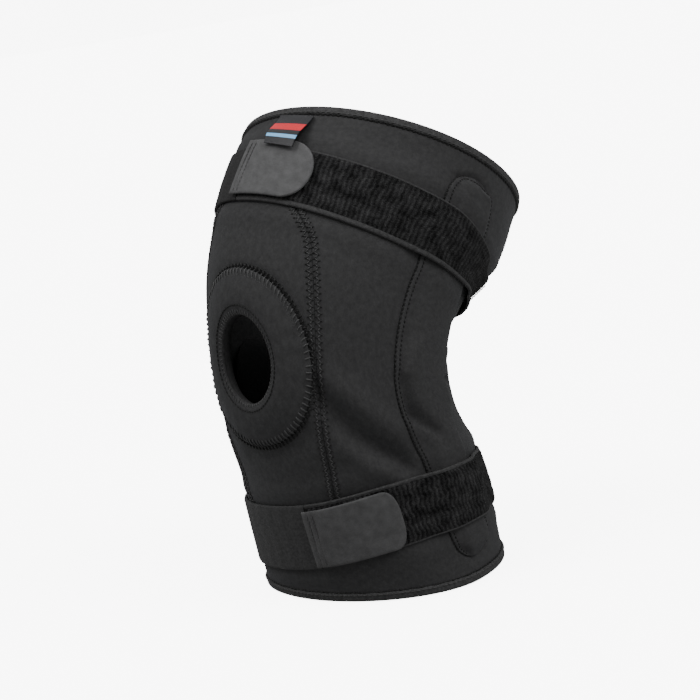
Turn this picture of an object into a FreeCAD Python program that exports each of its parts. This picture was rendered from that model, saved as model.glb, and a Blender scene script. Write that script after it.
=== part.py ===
"""Hinged knee brace: a bent neoprene sleeve with two side hinges, a patella pad and two hook-and-loop straps.

Millimetres, +Z up. The brace stands on its lower rim with the knee half bent, front towards -Y and
lateral side towards +X. The origin is the centre of the lower rim.

The sleeve is described in a straight leg frame: a level along the leg, measured up from the knee axis,
and an angle round the leg, 0 at the front and 90 on the lateral side. Near the knee that frame is bent
about the knee axis; above it everything turns by the whole bend, below it nothing turns.
"""
import FreeCAD, Part
import math
import os
import re

import Sketcher

Vector = FreeCAD.Vector
Rotation = FreeCAD.Rotation
Placement = FreeCAD.Placement

DIMENSIONS = [
    # the leg form: outside of the sleeve, from the knee axis
    ("calf_rim_level", -124.0, "lower rim, below the knee axis"),
    ("calf_rim_width", 74.0, "half width at the lower rim"),
    ("calf_rim_front", 38.0, "knee axis to the front of the lower rim"),
    ("calf_rim_back", 92.0, "knee axis to the back of the lower rim"),
    ("calf_level", -77.0, "middle of the calf strap"),
    ("calf_width", 71.5, ""),
    ("calf_front", 48.0, ""),
    ("calf_back", 88.5, ""),
    ("shin_level", -38.0, "just below the patella"),
    ("shin_width", 69.0, ""),
    ("shin_front", 55.0, ""),
    ("shin_back", 77.5, ""),
    ("knee_level", 0.0, "the knee axis"),
    ("knee_width", 68.5, ""),
    ("knee_front", 67.0, ""),
    ("knee_back", 69.5, ""),
    ("hollow_level", 47.0, "hollow of the knee"),
    ("hollow_width", 72.0, ""),
    ("hollow_front", 90.5, ""),
    ("hollow_back", 55.0, ""),
    ("thigh_level", 94.0, "middle of the thigh strap"),
    ("thigh_width", 79.5, ""),
    ("thigh_front", 90.0, ""),
    ("thigh_back", 88.0, ""),
    ("thigh_rim_level", 134.0, "upper rim, above the knee axis"),
    ("thigh_rim_width", 80.0, ""),
    ("thigh_rim_front", 81.5, ""),
    ("thigh_rim_back", 96.0, ""),
    ("wide_share", 0.5, "widest line: 0 on the knee axis, 1 halfway from front to back"),
    ("bend_angle", 33.0, "degrees from the calf to the thigh as it stands"),
    ("bend_reach", 58.0, "the bend is spread this far each way along the leg"),
    # sleeve
    ("neoprene", 4.0, "thickness of the sleeve"),
    ("seam_gap", 0.2, "between butted panels"),
    ("body_gap", 0.4, "between pieces that move apart"),
    ("calf_zone_top", -60.0, "above this the sleeve bends"),
    ("thigh_zone_bottom", 70.0, "below this the sleeve bends"),
    ("front_half_angle", 38.0, "front panel at the knee, each way"),
    ("front_rim_half_angle", 17.0, "front panel at the rims, each way"),
    ("back_seam_angle", 135.0, "seam between side and back panels"),
    ("binding_height", 5.0, "edge binding along the leg"),
    ("binding_proud", 1.0, "edge binding over the sleeve, inside and out"),
    # patella
    ("patella_level", 4.0, "centre of the patella opening"),
    ("patella_angle", -6.0, "it faces a little inwards"),
    ("opening_half_level", 16.5, ""),
    ("opening_half_angle", 17.5, ""),
    ("patella_binding_width", 2.2, ""),
    ("pad_half_level", 34.5, ""),
    ("pad_half_angle", 39.5, ""),
    ("pad_rise", 4.0, "crown of the pad over its edges"),
    ("pad_border", 3.0, "degrees between the pad and the front panel's side seams"),
    ("pad_edge", 0.3, "the pad's edges over the sleeve"),
    # hinge pockets
    ("pocket_half_width", 19.5, ""),
    ("pocket_lead", 4.0, "pocket's middle ahead of the bars"),
    ("pocket_end", 12.0, "length of its rounded ends"),
    ("pocket_end_share", 0.45, "width left at the very end"),
    ("pocket_top", 116.0, ""),
    ("pocket_bottom", -109.0, ""),
    ("pocket_wall", 0.16, "share of its width that the cover takes to rise"),
    ("pocket_cloth", 1.4, "thickness of the cover"),
    ("pocket_lift", 0.25, "the cover's edge over the sleeve"),
    ("pocket_room_out", 2.2, "inside of the cover, out from the leg form, along the bars"),
    ("pocket_room_in", 3.8, "side panel pressed in under the bars"),
    ("head_room_out", 3.8, "the same at the hinge heads"),
    ("head_room_in", 5.0, ""),
    ("head_room_reach", 80.0, ""),
    ("pressed_panel", 2.8, "side panel thickness under the bars"),
    # side hinges
    ("hinge_inset", 0.6, "hinge plane inside the leg form"),
    ("bar_width", 14.0, ""),
    ("bar_thickness", 1.8, ""),
    ("bar_end_radius", 5.9, ""),
    ("head_radius", 13.0, ""),
    ("washer_thickness", 0.3, ""),
    ("washer_radius", 6.0, ""),
    ("rivet_radius", 3.0, ""),
    ("rivet_head_radius", 5.0, ""),
    ("rivet_head", 0.7, "height of each rivet head"),
    ("running_gap", 0.05, "radial clearance at the pivot"),
    ("upper_bar_length", 104.0, "pivot to bar end"),
    ("upper_bend_start", 28.0, "pivot to the outward bend"),
    ("upper_bend_angle", 7.5, "outward set of the upper bar"),
    ("lower_bar_length", 100.0, ""),
    ("lower_bend_start", 18.0, ""),
    ("lower_bend_angle", 3.0, ""),
    ("lower_bar_lean", 10.5, "lower bar's end set back from the calf axis"),
    ("stop_pin_radius", 1.75, ""),
    ("stop_pin_arm", 8.3, "pivot to stop pin"),
    ("stop_slot_gap", 0.15, ""),
    ("more_flexion", 40.0, "hinge travel from the stance towards a bent knee"),
    ("stop_margin", 1.0, "degrees left at each stop"),
    ("cap_length", 13.0, "vinyl cap on a bar end"),
    ("cap_wall", 0.7, ""),
    ("condyle_radius", 24.0, "pad behind the hinge head"),
    ("condyle_thickness", 4.0, ""),
    # straps
    ("strap_gap", 0.9, "strap over sleeve"),
    ("strap_drop", 7.0, "distance beside a pocket in which a strap comes down from it"),
    ("strap_thickness", 2.2, ""),
    # level of each strap's middle line, every eighth of a turn from the front towards the lateral side
    ("thigh_strap_front", 93.5, ""),
    ("thigh_strap_front_lateral", 83.5, ""),
    ("thigh_strap_lateral", 74.0, ""),
    ("thigh_strap_back_lateral", 71.0, ""),
    ("thigh_strap_back", 80.0, ""),
    ("thigh_strap_back_medial", 89.0, ""),
    ("thigh_strap_medial", 99.0, ""),
    ("thigh_strap_front_medial", 102.5, ""),
    ("thigh_strap_width", 35.0, ""),
    ("thigh_strap_bridge", 64.0, "level whose back depth it keeps over the hollow"),
    ("calf_strap_front", -84.0, ""),
    ("calf_strap_front_lateral", -74.5, ""),
    ("calf_strap_lateral", -72.5, ""),
    ("calf_strap_back_lateral", -75.5, ""),
    ("calf_strap_back", -84.0, ""),
    ("calf_strap_back_medial", -87.5, ""),
    ("calf_strap_medial", -88.5, ""),
    ("calf_strap_front_medial", -87.5, ""),
    ("calf_strap_width", 38.0, ""),
    ("loop_end_angle", 142.0, "where the loop band meets the elastic, behind"),
    ("thigh_loop_start", -12.0, ""),
    ("calf_loop_start", 6.0, ""),
    ("tab_thickness", 1.3, ""),
    ("hook_thickness", 0.9, ""),
    ("thigh_tab_start", -17.5, "sewn end of the thigh tab"),
    ("thigh_tab_end", 24.0, ""),
    ("calf_tab_start", 3.0, "sewn end of the calf tab"),
    ("calf_tab_end", 55.0, ""),
    ("tab_width", 32.5, ""),
    ("tab_drop", 0.8, "the tab's middle below the strap's"),
    # label
    ("label_start_angle", -3.0, ""),
    ("label_end_angle", 15.0, ""),
    ("label_reach", 1.5, "its lower end down over the thigh strap's edge"),
    ("label_lift", 3.8, "its lower end off the sleeve"),
    ("label_thickness", 1.0, "a folded tape"),
]

doc = FreeCAD.newDocument("KneeBrace")
sheet = doc.addObject("Spreadsheet::Sheet", "Sizes")
for line, (alias, number, note) in enumerate(DIMENSIONS, start=1):
    sheet.set(f"A{line}", alias)
    sheet.set(f"B{line}", str(number))
    sheet.setAlias(f"B{line}", alias)
    sheet.set(f"C{line}", note)
doc.recompute()


def size(alias):
    """A driving dimension, from the sheet."""
    return float(sheet.get(alias))


PARTS = []
SIDES = {"lateral": 1, "medial": -1}


def keep(item, name):
    """Names a finished sub-part and lists it for export."""
    item.Label = name
    PARTS.append(item)
    return item


# ---------------------------------------------------------------- the leg form

LEVELS = ("calf_rim", "calf", "shin", "knee", "hollow", "thigh", "thigh_rim")
LEVEL = [size(f"{name}_level") for name in LEVELS]


def along(values, level):
    """Smooth curve through one value at each of LEVEL, read at a level."""
    steps = [LEVEL[i + 1] - LEVEL[i] for i in range(len(LEVEL) - 1)]
    slopes = [(values[i + 1] - values[i]) / steps[i] for i in range(len(steps))]
    tangents = [slopes[0]]
    for i in range(1, len(steps)):
        share = steps[i] / (steps[i - 1] + steps[i])
        tangents.append(slopes[i - 1] * share + slopes[i] * (1 - share))
    tangents.append(slopes[-1])
    i = 0
    while i < len(steps) - 1 and level > LEVEL[i + 1]:
        i += 1
    u = (level - LEVEL[i]) / steps[i]
    return (
        values[i] * (1 + 2 * u) * (1 - u) ** 2
        + values[i + 1] * u * u * (3 - 2 * u)
        + steps[i] * (tangents[i] * u * (1 - u) ** 2 - tangents[i + 1] * u * u * (1 - u))
    )


WIDTH = [size(f"{name}_width") for name in LEVELS]
FRONT = [size(f"{name}_front") for name in LEVELS]
BACK = [size(f"{name}_back") for name in LEVELS]


def ramp(value):
    """0 below 0, 1 above 1, and smooth between."""
    value = min(1.0, max(0.0, value))
    return value * value * (3 - 2 * value)


def leg_point(level, angle, offset=0.0, bridge=None):
    """A point offset out from the leg form, in the straight frame. bridge is the level whose back depth a strap keeps."""
    turn = math.radians(angle)
    front, back = along(FRONT, level), along(BACK, level)
    if bridge is not None:
        back = max(back, along(BACK, bridge))
    middle = size("wide_share") * (back - front) / 2
    depth = front + middle if math.cos(turn) > 0 else back - middle
    width = along(WIDTH, level) + offset
    return Vector(width * math.sin(turn), middle - (depth + offset) * math.cos(turn), level)


def bent(point):
    """A point of the straight frame, with the leg bent about the knee axis."""
    turn = -math.radians(bend_turn(point.z))
    return Vector(
        point.x,
        point.y * math.cos(turn) - point.z * math.sin(turn),
        point.y * math.sin(turn) + point.z * math.cos(turn),
    )


KNEE = Vector(0, -(size("calf_rim_back") - size("calf_rim_front")) / 2, -size("calf_rim_level"))
CALF = Placement(KNEE, Rotation())
THIGH = Placement(KNEE, Rotation(Vector(1, 0, 0), -size("bend_angle")))


def bend_turn(level):
    """How far the sleeve has turned at a level, in degrees."""
    reach = size("bend_reach")
    return size("bend_angle") * ramp((level + reach) / (2 * reach))


def bar_line(level):
    """How far behind the straight frame's middle the hinge bars lie: they bend at one point and the sleeve gradually."""
    if level > 0:
        return level * math.sin(math.radians(size("bend_angle") - bend_turn(level)))
    lean = math.tan(math.radians(size("lower_bar_lean")))
    return -level * (lean + math.sin(math.radians(bend_turn(level))))


def angle_behind(level, distance):
    """The angle on the lateral side of a point of the leg form that far behind the straight frame's middle."""
    front, back = along(FRONT, level), along(BACK, level)
    middle = size("wide_share") * (back - front) / 2
    depth = front + middle if distance < middle else back - middle
    return math.degrees(math.acos((middle - distance) / depth))


def pocket_line(level):
    """How far behind the straight frame's middle the pocket's middle lies."""
    return bar_line(level) - size("pocket_lead")


def beside_pocket(level, angle):
    """Distance of a point of the leg form from the pocket's middle, front to back."""
    return abs(leg_point(level, angle).y - pocket_line(level))


def from_pocket_end(level):
    return min(size("pocket_top") - level, level - size("pocket_bottom"))


def in_pocket(level, angle):
    """1 in the flat middle of a hinge pocket, fading to 0 at its edges."""
    across = beside_pocket(level, angle) / size("pocket_half_width")
    return ramp((1 - across) / size("pocket_wall")) * ramp(2 * from_pocket_end(level) / size("pocket_end"))


def head_share(level):
    """1 at the hinge heads, fading along the bars."""
    return 1 - ramp(abs(level) / size("head_room_reach"))


def room(level, name):
    """Depth of the pocket, out or in, at a level."""
    rest, head = size(f"pocket_room_{name}"), size(f"head_room_{name}")
    return rest + (head - rest) * head_share(level)


def sleeve_outside(level, angle):
    return -room(level, "in") * in_pocket(level, angle)


def sleeve_inside(level, angle):
    pressed = -room(level, "in") - size("pressed_panel")
    share = in_pocket(level, angle)
    return -size("neoprene") * (1 - share) + pressed * share


def under_strap(level, angle):
    """What a strap lies on: the pocket cover's outer face, and the sleeve's elsewhere."""
    away = (beside_pocket(level, angle) - size("pocket_half_width")) / size("strap_drop")
    cloth = size("pocket_cloth") + size("pocket_lift")
    return cloth * ramp(2 - 2 * away) + room(level, "out") * ramp(1 - away)


# ---------------------------------------------------------------- curved solids


def knots(count, degree):
    """Multiplicities and knots of an even, clamped spline with that many poles."""
    mults = [degree + 1] + [1] * (count - degree - 1) + [degree + 1]
    return mults, [float(i) for i in range(len(mults))]


def surface(poles):
    """The spline surface of a grid of poles."""
    rows, columns = len(poles), len(poles[0])
    degrees = min(3, rows - 1), min(3, columns - 1)
    mults_u, knots_u = knots(rows, degrees[0])
    mults_v, knots_v = knots(columns, degrees[1])
    made = Part.BSplineSurface()
    made.buildFromPolesMultsKnots(
        poles, mults_u, mults_v, knots_u, knots_v, False, False, degrees[0], degrees[1]
    )
    return made.toShape()


def grid(point_at, rows, columns):
    return [[point_at(i / (rows - 1), j / (columns - 1)) for j in range(columns)] for i in range(rows)]


def closed_solid(faces):
    """Faces that meet along their borders, sewn into one solid."""
    shell = Part.Shell(faces)
    shell.sewShape()
    solid = Part.Solid(Part.Shell(shell.Faces))
    if solid.Volume < 0:
        solid.reverse()
    return solid


def slab(outer_at, inner_at, rows, columns):
    """A curved plate between two surfaces of the same two shares."""
    outer, inner = grid(outer_at, rows, columns), grid(inner_at, rows, columns)
    faces = [surface(outer), surface(inner)]
    faces += [surface([outer[i], inner[i]]) for i in (0, -1)]
    for j in (0, -1):
        faces.append(surface([[row[j] for row in outer], [row[j] for row in inner]]))
    return closed_solid(faces)


def oval_slab(inside, outside, outer_offset, inner_offset, rows=11, columns=21):
    """A frame-shaped plate between two closed outlines, each given as (level, angle) at a quarter and a share of it."""
    faces = []
    for quarter in range(4):

        def at(offset, quarter=quarter):
            def point(u, v):
                low, high = inside(quarter, v), outside(quarter, v)
                level = low[0] + (high[0] - low[0]) * u
                angle = low[1] + (high[1] - low[1]) * u
                return bent(leg_point(level, angle, offset(level, angle, u)))

            return point

        outer = grid(at(outer_offset), rows, columns)
        inner = grid(at(inner_offset), rows, columns)
        faces += [surface(outer), surface(inner)]
        faces += [surface([outer[i], inner[i]]) for i in (0, -1)]
    return closed_solid(faces)


def feature(name, shape, placement):
    """A sub-part whose form no sketch or primitive gives."""
    item = doc.addObject("Part::Feature", name)
    item.Shape = shape
    item.Placement = placement
    return keep(item, name)


# ---------------------------------------------------------------- sleeve panels

GAP = size("seam_gap") / 2
# the gap between two panels, as an angle on a leg of the knee's width
GAP_ANGLE = math.degrees(GAP / size("knee_width"))


def front_seam(level):
    """Half of the front panel's angle: widest at the knee."""
    knee, rim = size("front_half_angle"), size("front_rim_half_angle")
    end = size("thigh_rim_level") if level > size("patella_level") else -size("calf_rim_level")
    share = ramp(abs(level - size("patella_level")) / end)
    round_pad = size("pad_half_angle") + size("pad_border") - knee
    return knee + (rim - knee) * share + round_pad * head_share(level)


def seams(panel, level):
    """The two angles that a panel lies between at a level."""
    middle, half, back = size("patella_angle"), front_seam(level), size("back_seam_angle")
    return {
        "front_panel": (middle - half, middle + half),
        "lateral_panel": (middle + half, back),
        "back_panel": (back, 360 - back),
        "medial_panel": (360 - back, 360 + middle - half),
    }[panel]


def panel_solid(panel, low, high, shaped):
    """The part of a panel between two levels. shaped places a straight point."""

    def at(offset):
        def point(u, v):
            level = low + (high - low) * u
            left, right = seams(panel, level)
            left, right = left + GAP_ANGLE, right - GAP_ANGLE
            angle = left + (right - left) * v
            return shaped(leg_point(level, angle, offset(level, angle)))

        return point

    columns = 49 if panel in ("lateral_panel", "medial_panel") else 21
    rows = 29 if shaped is bent else 17
    return slab(at(sleeve_outside), at(sleeve_inside), rows, columns)


def oval(half_level, half_angle):
    """An outline round the patella, in quarters that start at its corners."""

    def at(quarter, share):
        turn = math.pi / 4 + math.pi / 2 * (quarter + share)
        level = size("patella_level") + half_level * math.sin(turn)
        return level, size("patella_angle") + half_angle * math.cos(turn)

    return at


def knee_front_outline(low, high):
    """The front panel's border at the knee, in quarters that start at its corners."""

    def at(quarter, share):
        level = (high, high + (low - high) * share, low, low + (high - low) * share)[quarter]
        left, right = seams("front_panel", level)
        left, right = left + GAP_ANGLE, right - GAP_ANGLE
        angle = (right + (left - right) * share, left, left + (right - left) * share, right)[quarter]
        return level, angle

    return at


def straight(point):
    return point


def level_at(offset):
    """The same offset all over a frame-shaped plate."""
    return lambda level, angle, u: offset


def make_sleeve():
    """Four panels in each of three zones: the calf's and the thigh's stay straight, the knee's bends."""
    half_gap = size("body_gap") / 2
    calf_top, thigh_bottom = size("calf_zone_top"), size("thigh_zone_bottom")
    rim = size("binding_height") + GAP
    calf_levels = (size("calf_rim_level") + rim, calf_top - half_gap)
    knee_levels = (calf_top + half_gap, thigh_bottom - half_gap)
    thigh_levels = (thigh_bottom + half_gap, size("thigh_rim_level") - rim)
    for panel in ("front_panel", "lateral_panel", "back_panel", "medial_panel"):
        feature(f"{panel}_calf", panel_solid(panel, *calf_levels, straight), CALF)
        feature(f"{panel}_thigh", panel_solid(panel, *thigh_levels, straight), THIGH)
        if panel == "front_panel":
            border = size("seam_gap")
            hole = oval(size("pad_half_level") + border, size("pad_half_angle") + border)
            shape = oval_slab(hole, knee_front_outline(*knee_levels), level_at(0), level_at(-size("neoprene")))
        else:
            shape = panel_solid(panel, *knee_levels, bent)
        feature(f"{panel}_knee", shape, CALF)


def make_patella():
    """The padded ring round the patella opening, and the tape that binds the opening's edge."""
    width = size("patella_binding_width")
    tape = math.degrees(width / size("knee_front"))
    level, angle = size("opening_half_level"), size("opening_half_angle")
    gap = size("seam_gap")
    proud = size("binding_proud")
    inner = -size("neoprene")
    opening, taped = oval(level, angle), oval(level + width, angle + tape)
    feature("patella_binding", oval_slab(opening, taped, level_at(proud), level_at(inner - proud)), CALF)

    def crown(level, angle, u):
        return size("pad_edge") + size("pad_rise") * math.sin(math.pi * u)

    hole = oval(level + width + gap, angle + tape + gap)
    pad = oval_slab(hole, oval(size("pad_half_level"), size("pad_half_angle")), crown, level_at(inner))
    feature("patella_pad", pad, CALF)


def make_pocket(side):
    """The cloth cover that holds one side hinge against the sleeve."""
    sign = SIDES[side]

    def at(thickness):
        def point(u, v):
            level = size("pocket_bottom") + (size("pocket_top") - size("pocket_bottom")) * u
            rounding = ramp(1 - from_pocket_end(level) / size("pocket_end"))
            half = size("pocket_half_width") - size("seam_gap")
            half *= 1 - (1 - size("pocket_end_share")) * rounding
            angle = angle_behind(level, pocket_line(level) + half * (2 * v - 1))
            out = size("pocket_lift") + room(level, "out") * in_pocket(level, angle)
            return bent(leg_point(level, sign * angle, out + thickness))

        return point

    feature(f"hinge_pocket_{side}", slab(at(size("pocket_cloth")), at(0.0), 57, 25), CALF)


def rim_outline(rim, offset):
    """The closed outline of a rim, of two half ellipses that meet on its widest line."""
    front, back, width = [size(f"{rim}_{key}") for key in ("front", "back", "width")]
    middle = size("wide_share") * (back - front) / 2
    centre = Vector(0, middle, size(f"{rim}_level"))
    edges = []
    for depth, way in ((front + middle + offset, -1), (back - middle + offset, 1)):
        tip = centre + Vector(0, way * depth, 0)
        side = centre + Vector(width + offset, 0, 0)
        ellipse = Part.Ellipse(side, tip, centre) if width + offset > depth else Part.Ellipse(tip, side, centre)
        start = ellipse.parameter(side)
        if ellipse.value(start + math.pi / 2).distanceToPoint(tip) > depth:
            start += math.pi
        edges.append(ellipse.toShape(start, start + math.pi))
    return Part.Wire(Part.__sortEdges__(edges))


def make_binding(name, rim, placement, outwards):
    """The folded tape on one rim, a flat-ended band."""
    proud = size("binding_proud")
    outer = Part.Face(rim_outline(rim, proud))
    inner = Part.Face(rim_outline(rim, -size("neoprene") - proud))
    band_shape = outer.cut(inner).extrude(Vector(0, 0, -outwards * size("binding_height")))
    feature(name, band_shape, placement)


# ---------------------------------------------------------------- straps and label

EIGHTHS = (
    "front",
    "front_lateral",
    "lateral",
    "back_lateral",
    "back",
    "back_medial",
    "medial",
    "front_medial",
)


def strap_middle(strap, angle):
    """Level of a strap's middle line at an angle."""
    eighth, share = divmod((angle % 360) / 45, 1)
    low, start, end, high = [
        size(f"{strap}_strap_{EIGHTHS[(int(eighth) + i) % 8]}") for i in (-1, 0, 1, 2)
    ]
    leave, arrive = (end - low) / 2, (high - start) / 2
    swing = leave * share * (1 - share) ** 2 - arrive * share * share * (1 - share)
    return start * (1 - ramp(share)) + end * ramp(share) + swing


def band(strap, start, end, width, low, high, columns=31, drop=0.0):
    """A band over the sleeve between two angles. low and high are its faces' heights over it."""
    bridge = size("thigh_strap_bridge") if strap == "thigh" else None
    lift = size("strap_gap")

    def at(height):
        def point(u, v):
            angle = start + (end - start) * v
            middle = strap_middle(strap, angle)
            level = middle - drop + width * (u - 0.5)
            under = under_strap(middle, angle) + lift
            return leg_point(level, angle, under + height, bridge)

        return point

    return slab(at(high), at(low), 7, columns)


def make_strap(strap, placement):
    """Elastic and loop band once round the leg, and a hook tab over the loop band."""
    width, thick = size(f"{strap}_strap_width"), size("strap_thickness")
    start, middle = size(f"{strap}_loop_start"), size("loop_end_angle")
    tab_start, tab_end = size(f"{strap}_tab_start"), size(f"{strap}_tab_end")
    gap = 2 * GAP_ANGLE
    loop = band(strap, start, middle, width, 0, thick, 45)
    feature(f"{strap}_strap_loop_band", loop, placement)
    elastic = band(strap, middle + gap, 360 + start - gap, width, 0, thick, 61)
    feature(f"{strap}_strap_elastic", elastic, placement)
    over = thick + size("body_gap")
    hook, tab = size("hook_thickness"), size("tab_thickness")
    span = strap, tab_start, tab_end, size("tab_width")
    drop = size("tab_drop")
    feature(f"{strap}_strap_hooks", band(*span, over, over + hook, drop=drop), placement)
    feature(f"{strap}_strap_tab", band(*span, over + hook, over + hook + tab, drop=drop), placement)


def make_label():
    """A folded tape label, sewn in under the upper binding."""
    top = size("thigh_rim_level") - size("binding_height") - 2 * GAP

    def at(height):
        def point(u, v):
            angle = size("label_start_angle")
            angle += (size("label_end_angle") - angle) * v
            bottom = strap_middle("thigh", angle) + size("thigh_strap_width") / 2 - size("label_reach")
            lift = size("label_lift") + (size("binding_proud") - size("label_lift")) * ramp(u)
            return leg_point(bottom + (top - bottom) * u, angle, lift + height)

        return point

    feature("side_label", slab(at(size("label_thickness")), at(0), 5, 7), THIGH)


# ---------------------------------------------------------------- side hinges


def origin_plane(body, role):
    return next(item for item in body.Origin.OriginFeatures if item.Role == role)


def bound(term):
    """An expression over the sheet's names, as another object of the document reads it."""
    return re.sub(r"([a-z]+_[a-z_]+)", r"Sizes.\1", term)


def outline(body, name, role, corners, offset=None):
    """A closed sketch of straight edges. Each corner is two expressions, measured from the sketch's origin."""
    sketch = body.newObject("Sketcher::SketchObject", name)
    sketch.AttachmentSupport = [(origin_plane(body, role), "")]
    sketch.MapMode = "FlatFace"
    if offset is not None:
        sketch.AttachmentOffset = offset
    places = [Vector(*[float(sheet.evalExpression(term)) for term in corner], 0) for corner in corners]
    count = len(places)
    for i, place in enumerate(places):
        sketch.addGeometry(Part.LineSegment(place, places[(i + 1) % count]), False)
    for i in range(count):
        sketch.addConstraint(Sketcher.Constraint("Coincident", i, 2, (i + 1) % count, 1))
    for i, corner in enumerate(corners):
        for kind, term, value in zip(("DistanceX", "DistanceY"), corner, places[i]):
            if term == "0":
                axis = -2 if kind == "DistanceX" else -1
                sketch.addConstraint(Sketcher.Constraint("PointOnObject", i, 1, axis))
                continue
            index = sketch.addConstraint(Sketcher.Constraint(kind, -1, 1, i, 1, value))
            sketch.setExpression(f"Constraints[{index}]", bound(term))
    return sketch


def disc_sketch(body, name, role, radius, offset=None, centre=("0", "0")):
    """A sketch of one circle whose radius and centre are expressions."""
    sketch = body.newObject("Sketcher::SketchObject", name)
    sketch.AttachmentSupport = [(origin_plane(body, role), "")]
    sketch.MapMode = "FlatFace"
    if offset is not None:
        sketch.AttachmentOffset = offset
    place = Vector(*[float(sheet.evalExpression(term)) for term in centre], 0)
    value = float(sheet.evalExpression(radius))
    sketch.addGeometry(Part.Circle(place, Vector(0, 0, 1), value), False)
    index = sketch.addConstraint(Sketcher.Constraint("Radius", 0, value))
    sketch.setExpression(f"Constraints[{index}]", bound(radius))
    for kind, axis, term, number in zip(("DistanceX", "DistanceY"), (-2, -1), centre, place):
        if term == "0":
            sketch.addConstraint(Sketcher.Constraint("PointOnObject", 0, 3, axis))
        else:
            index = sketch.addConstraint(Sketcher.Constraint(kind, -1, 1, 0, 3, number))
            sketch.setExpression(f"Constraints[{index}]", bound(term))
    return sketch


def turned(name, corners, placement):
    """A body turned about the hinge axis, from corners of (distance along it, radius)."""
    body = doc.addObject("PartDesign::Body", name)
    sketch = outline(body, f"{name}_profile", "XZ_Plane", corners)
    turn = body.newObject("PartDesign::Revolution", f"{name}_turn")
    turn.Profile = sketch
    turn.ReferenceAxis = (sketch, ["H_Axis"])
    turn.Angle = 360
    body.Placement = placement
    return keep(body, name)


def hinge_place(side, turn):
    """Where a hinge piece goes: its own +X is outwards and its +Z runs down the bar, turned about the knee axis."""
    x = SIDES[side] * (size("knee_width") - size("hinge_inset"))
    facing = Rotation(Vector(0, 0, 1), 0 if side == "lateral" else 180)
    return Placement(KNEE + Vector(x, 0, 0), Rotation(Vector(1, 0, 0), turn) * facing)


def make_bar(bar, side, placement):
    """A flat steel bar with a round head at the pivot and an outward set. bar is upper, outside, or lower, inside."""
    name = f"{bar}_bar_{side}"
    near, far = ("washer_thickness / 2", "washer_thickness / 2 + bar_thickness")
    if bar == "lower":
        near, far = (f"-({far})", f"-({near})")
    body = doc.addObject("PartDesign::Body", name)
    run = f"({bar}_bar_length - {bar}_bend_start)"
    rise = f"{run} * tan({bar}_bend_angle)"
    profile = outline(
        body,
        f"{name}_profile",
        "XZ_Plane",
        [
            (near, "rivet_radius + running_gap"),
            (far, "rivet_radius + running_gap"),
            (far, f"{bar}_bend_start"),
            (f"{far} + {rise}", f"{bar}_bar_length"),
            (f"{near} + {rise}", f"{bar}_bar_length"),
            (near, f"{bar}_bend_start"),
        ],
    )
    blade = body.newObject("PartDesign::Pad", f"{name}_blade")
    blade.Profile = profile
    blade.setExpression("Length", "Sizes.bar_width")
    blade.Midplane = True
    start = float(sheet.evalExpression(near))
    shift = Placement(Vector(0, 0, start), Rotation())
    circle = disc_sketch(body, f"{name}_disc", "YZ_Plane", "head_radius", shift)
    head = body.newObject("PartDesign::Pad", f"{name}_head")
    head.Profile = circle
    head.setExpression("Length", "Sizes.bar_thickness")
    doc.recompute()
    radius = "rivet_radius + running_gap" if bar == "upper" else "rivet_radius"
    circle = disc_sketch(body, f"{name}_eye", "YZ_Plane", radius)
    eye = body.newObject("PartDesign::Pocket", f"{name}_hole")
    eye.Profile = circle
    eye.Type = "ThroughAll"
    eye.Midplane = True
    if bar == "upper":
        circle = disc_sketch(
            body, f"{name}_stop", "YZ_Plane", "stop_pin_radius", None, ("0", "stop_pin_arm")
        )
        stop = body.newObject("PartDesign::Pocket", f"{name}_stop_hole")
        stop.Profile = circle
        stop.Type = "ThroughAll"
        stop.Midplane = True
    else:
        make_stop_slot(body, name, near, far, side)
    doc.recompute()
    plain = body.Tip
    ends = [
        f"Edge{i}"
        for i, edge in enumerate(plain.Shape.Edges, start=1)
        if edge.BoundBox.ZMin > size(f"{bar}_bar_length") - size("bar_thickness")
        and edge.BoundBox.YLength < 0.01
        and edge.BoundBox.XLength > size("bar_thickness") / 2
    ]
    rounded = body.newObject("PartDesign::Fillet", f"{name}_end")
    rounded.Base = (plain, ends)
    rounded.setExpression("Radius", "Sizes.bar_end_radius")
    doc.recompute()
    body.Placement = placement
    return keep(body, name)


def make_stop_slot(body, name, near, far, side):
    """The arc slot in the lower bar's head that the stop pin runs in: its ends are the hinge's limits."""
    straight = 180.0
    pin_angle = math.degrees(math.asin(size("stop_pin_radius") / size("stop_pin_arm")))
    spare = pin_angle + size("stop_margin")
    travel = size("bend_angle") + size("lower_bar_lean") + size("more_flexion")
    first = straight - spare - (travel if side == "lateral" else 0)
    half = "(stop_pin_radius + stop_slot_gap)"
    profile = outline(
        body,
        f"{name}_slot",
        "XZ_Plane",
        [
            (f"{near} - 1", f"stop_pin_arm - {half}"),
            (f"{far} + 1", f"stop_pin_arm - {half}"),
            (f"{far} + 1", f"stop_pin_arm + {half}"),
            (f"{near} - 1", f"stop_pin_arm + {half}"),
        ],
        Placement(Vector(), Rotation(Vector(1, 0, 0), first)),
    )
    doc.recompute()
    before = body.Tip.Shape.Volume
    slot = body.newObject("PartDesign::Groove", f"{name}_stop_slot")
    slot.Profile = profile
    slot.ReferenceAxis = (profile, ["H_Axis"])
    slot.Angle = travel + 2 * spare
    doc.recompute()
    assert slot.Shape.Volume < before - 1, "the stop slot cuts nothing"


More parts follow.
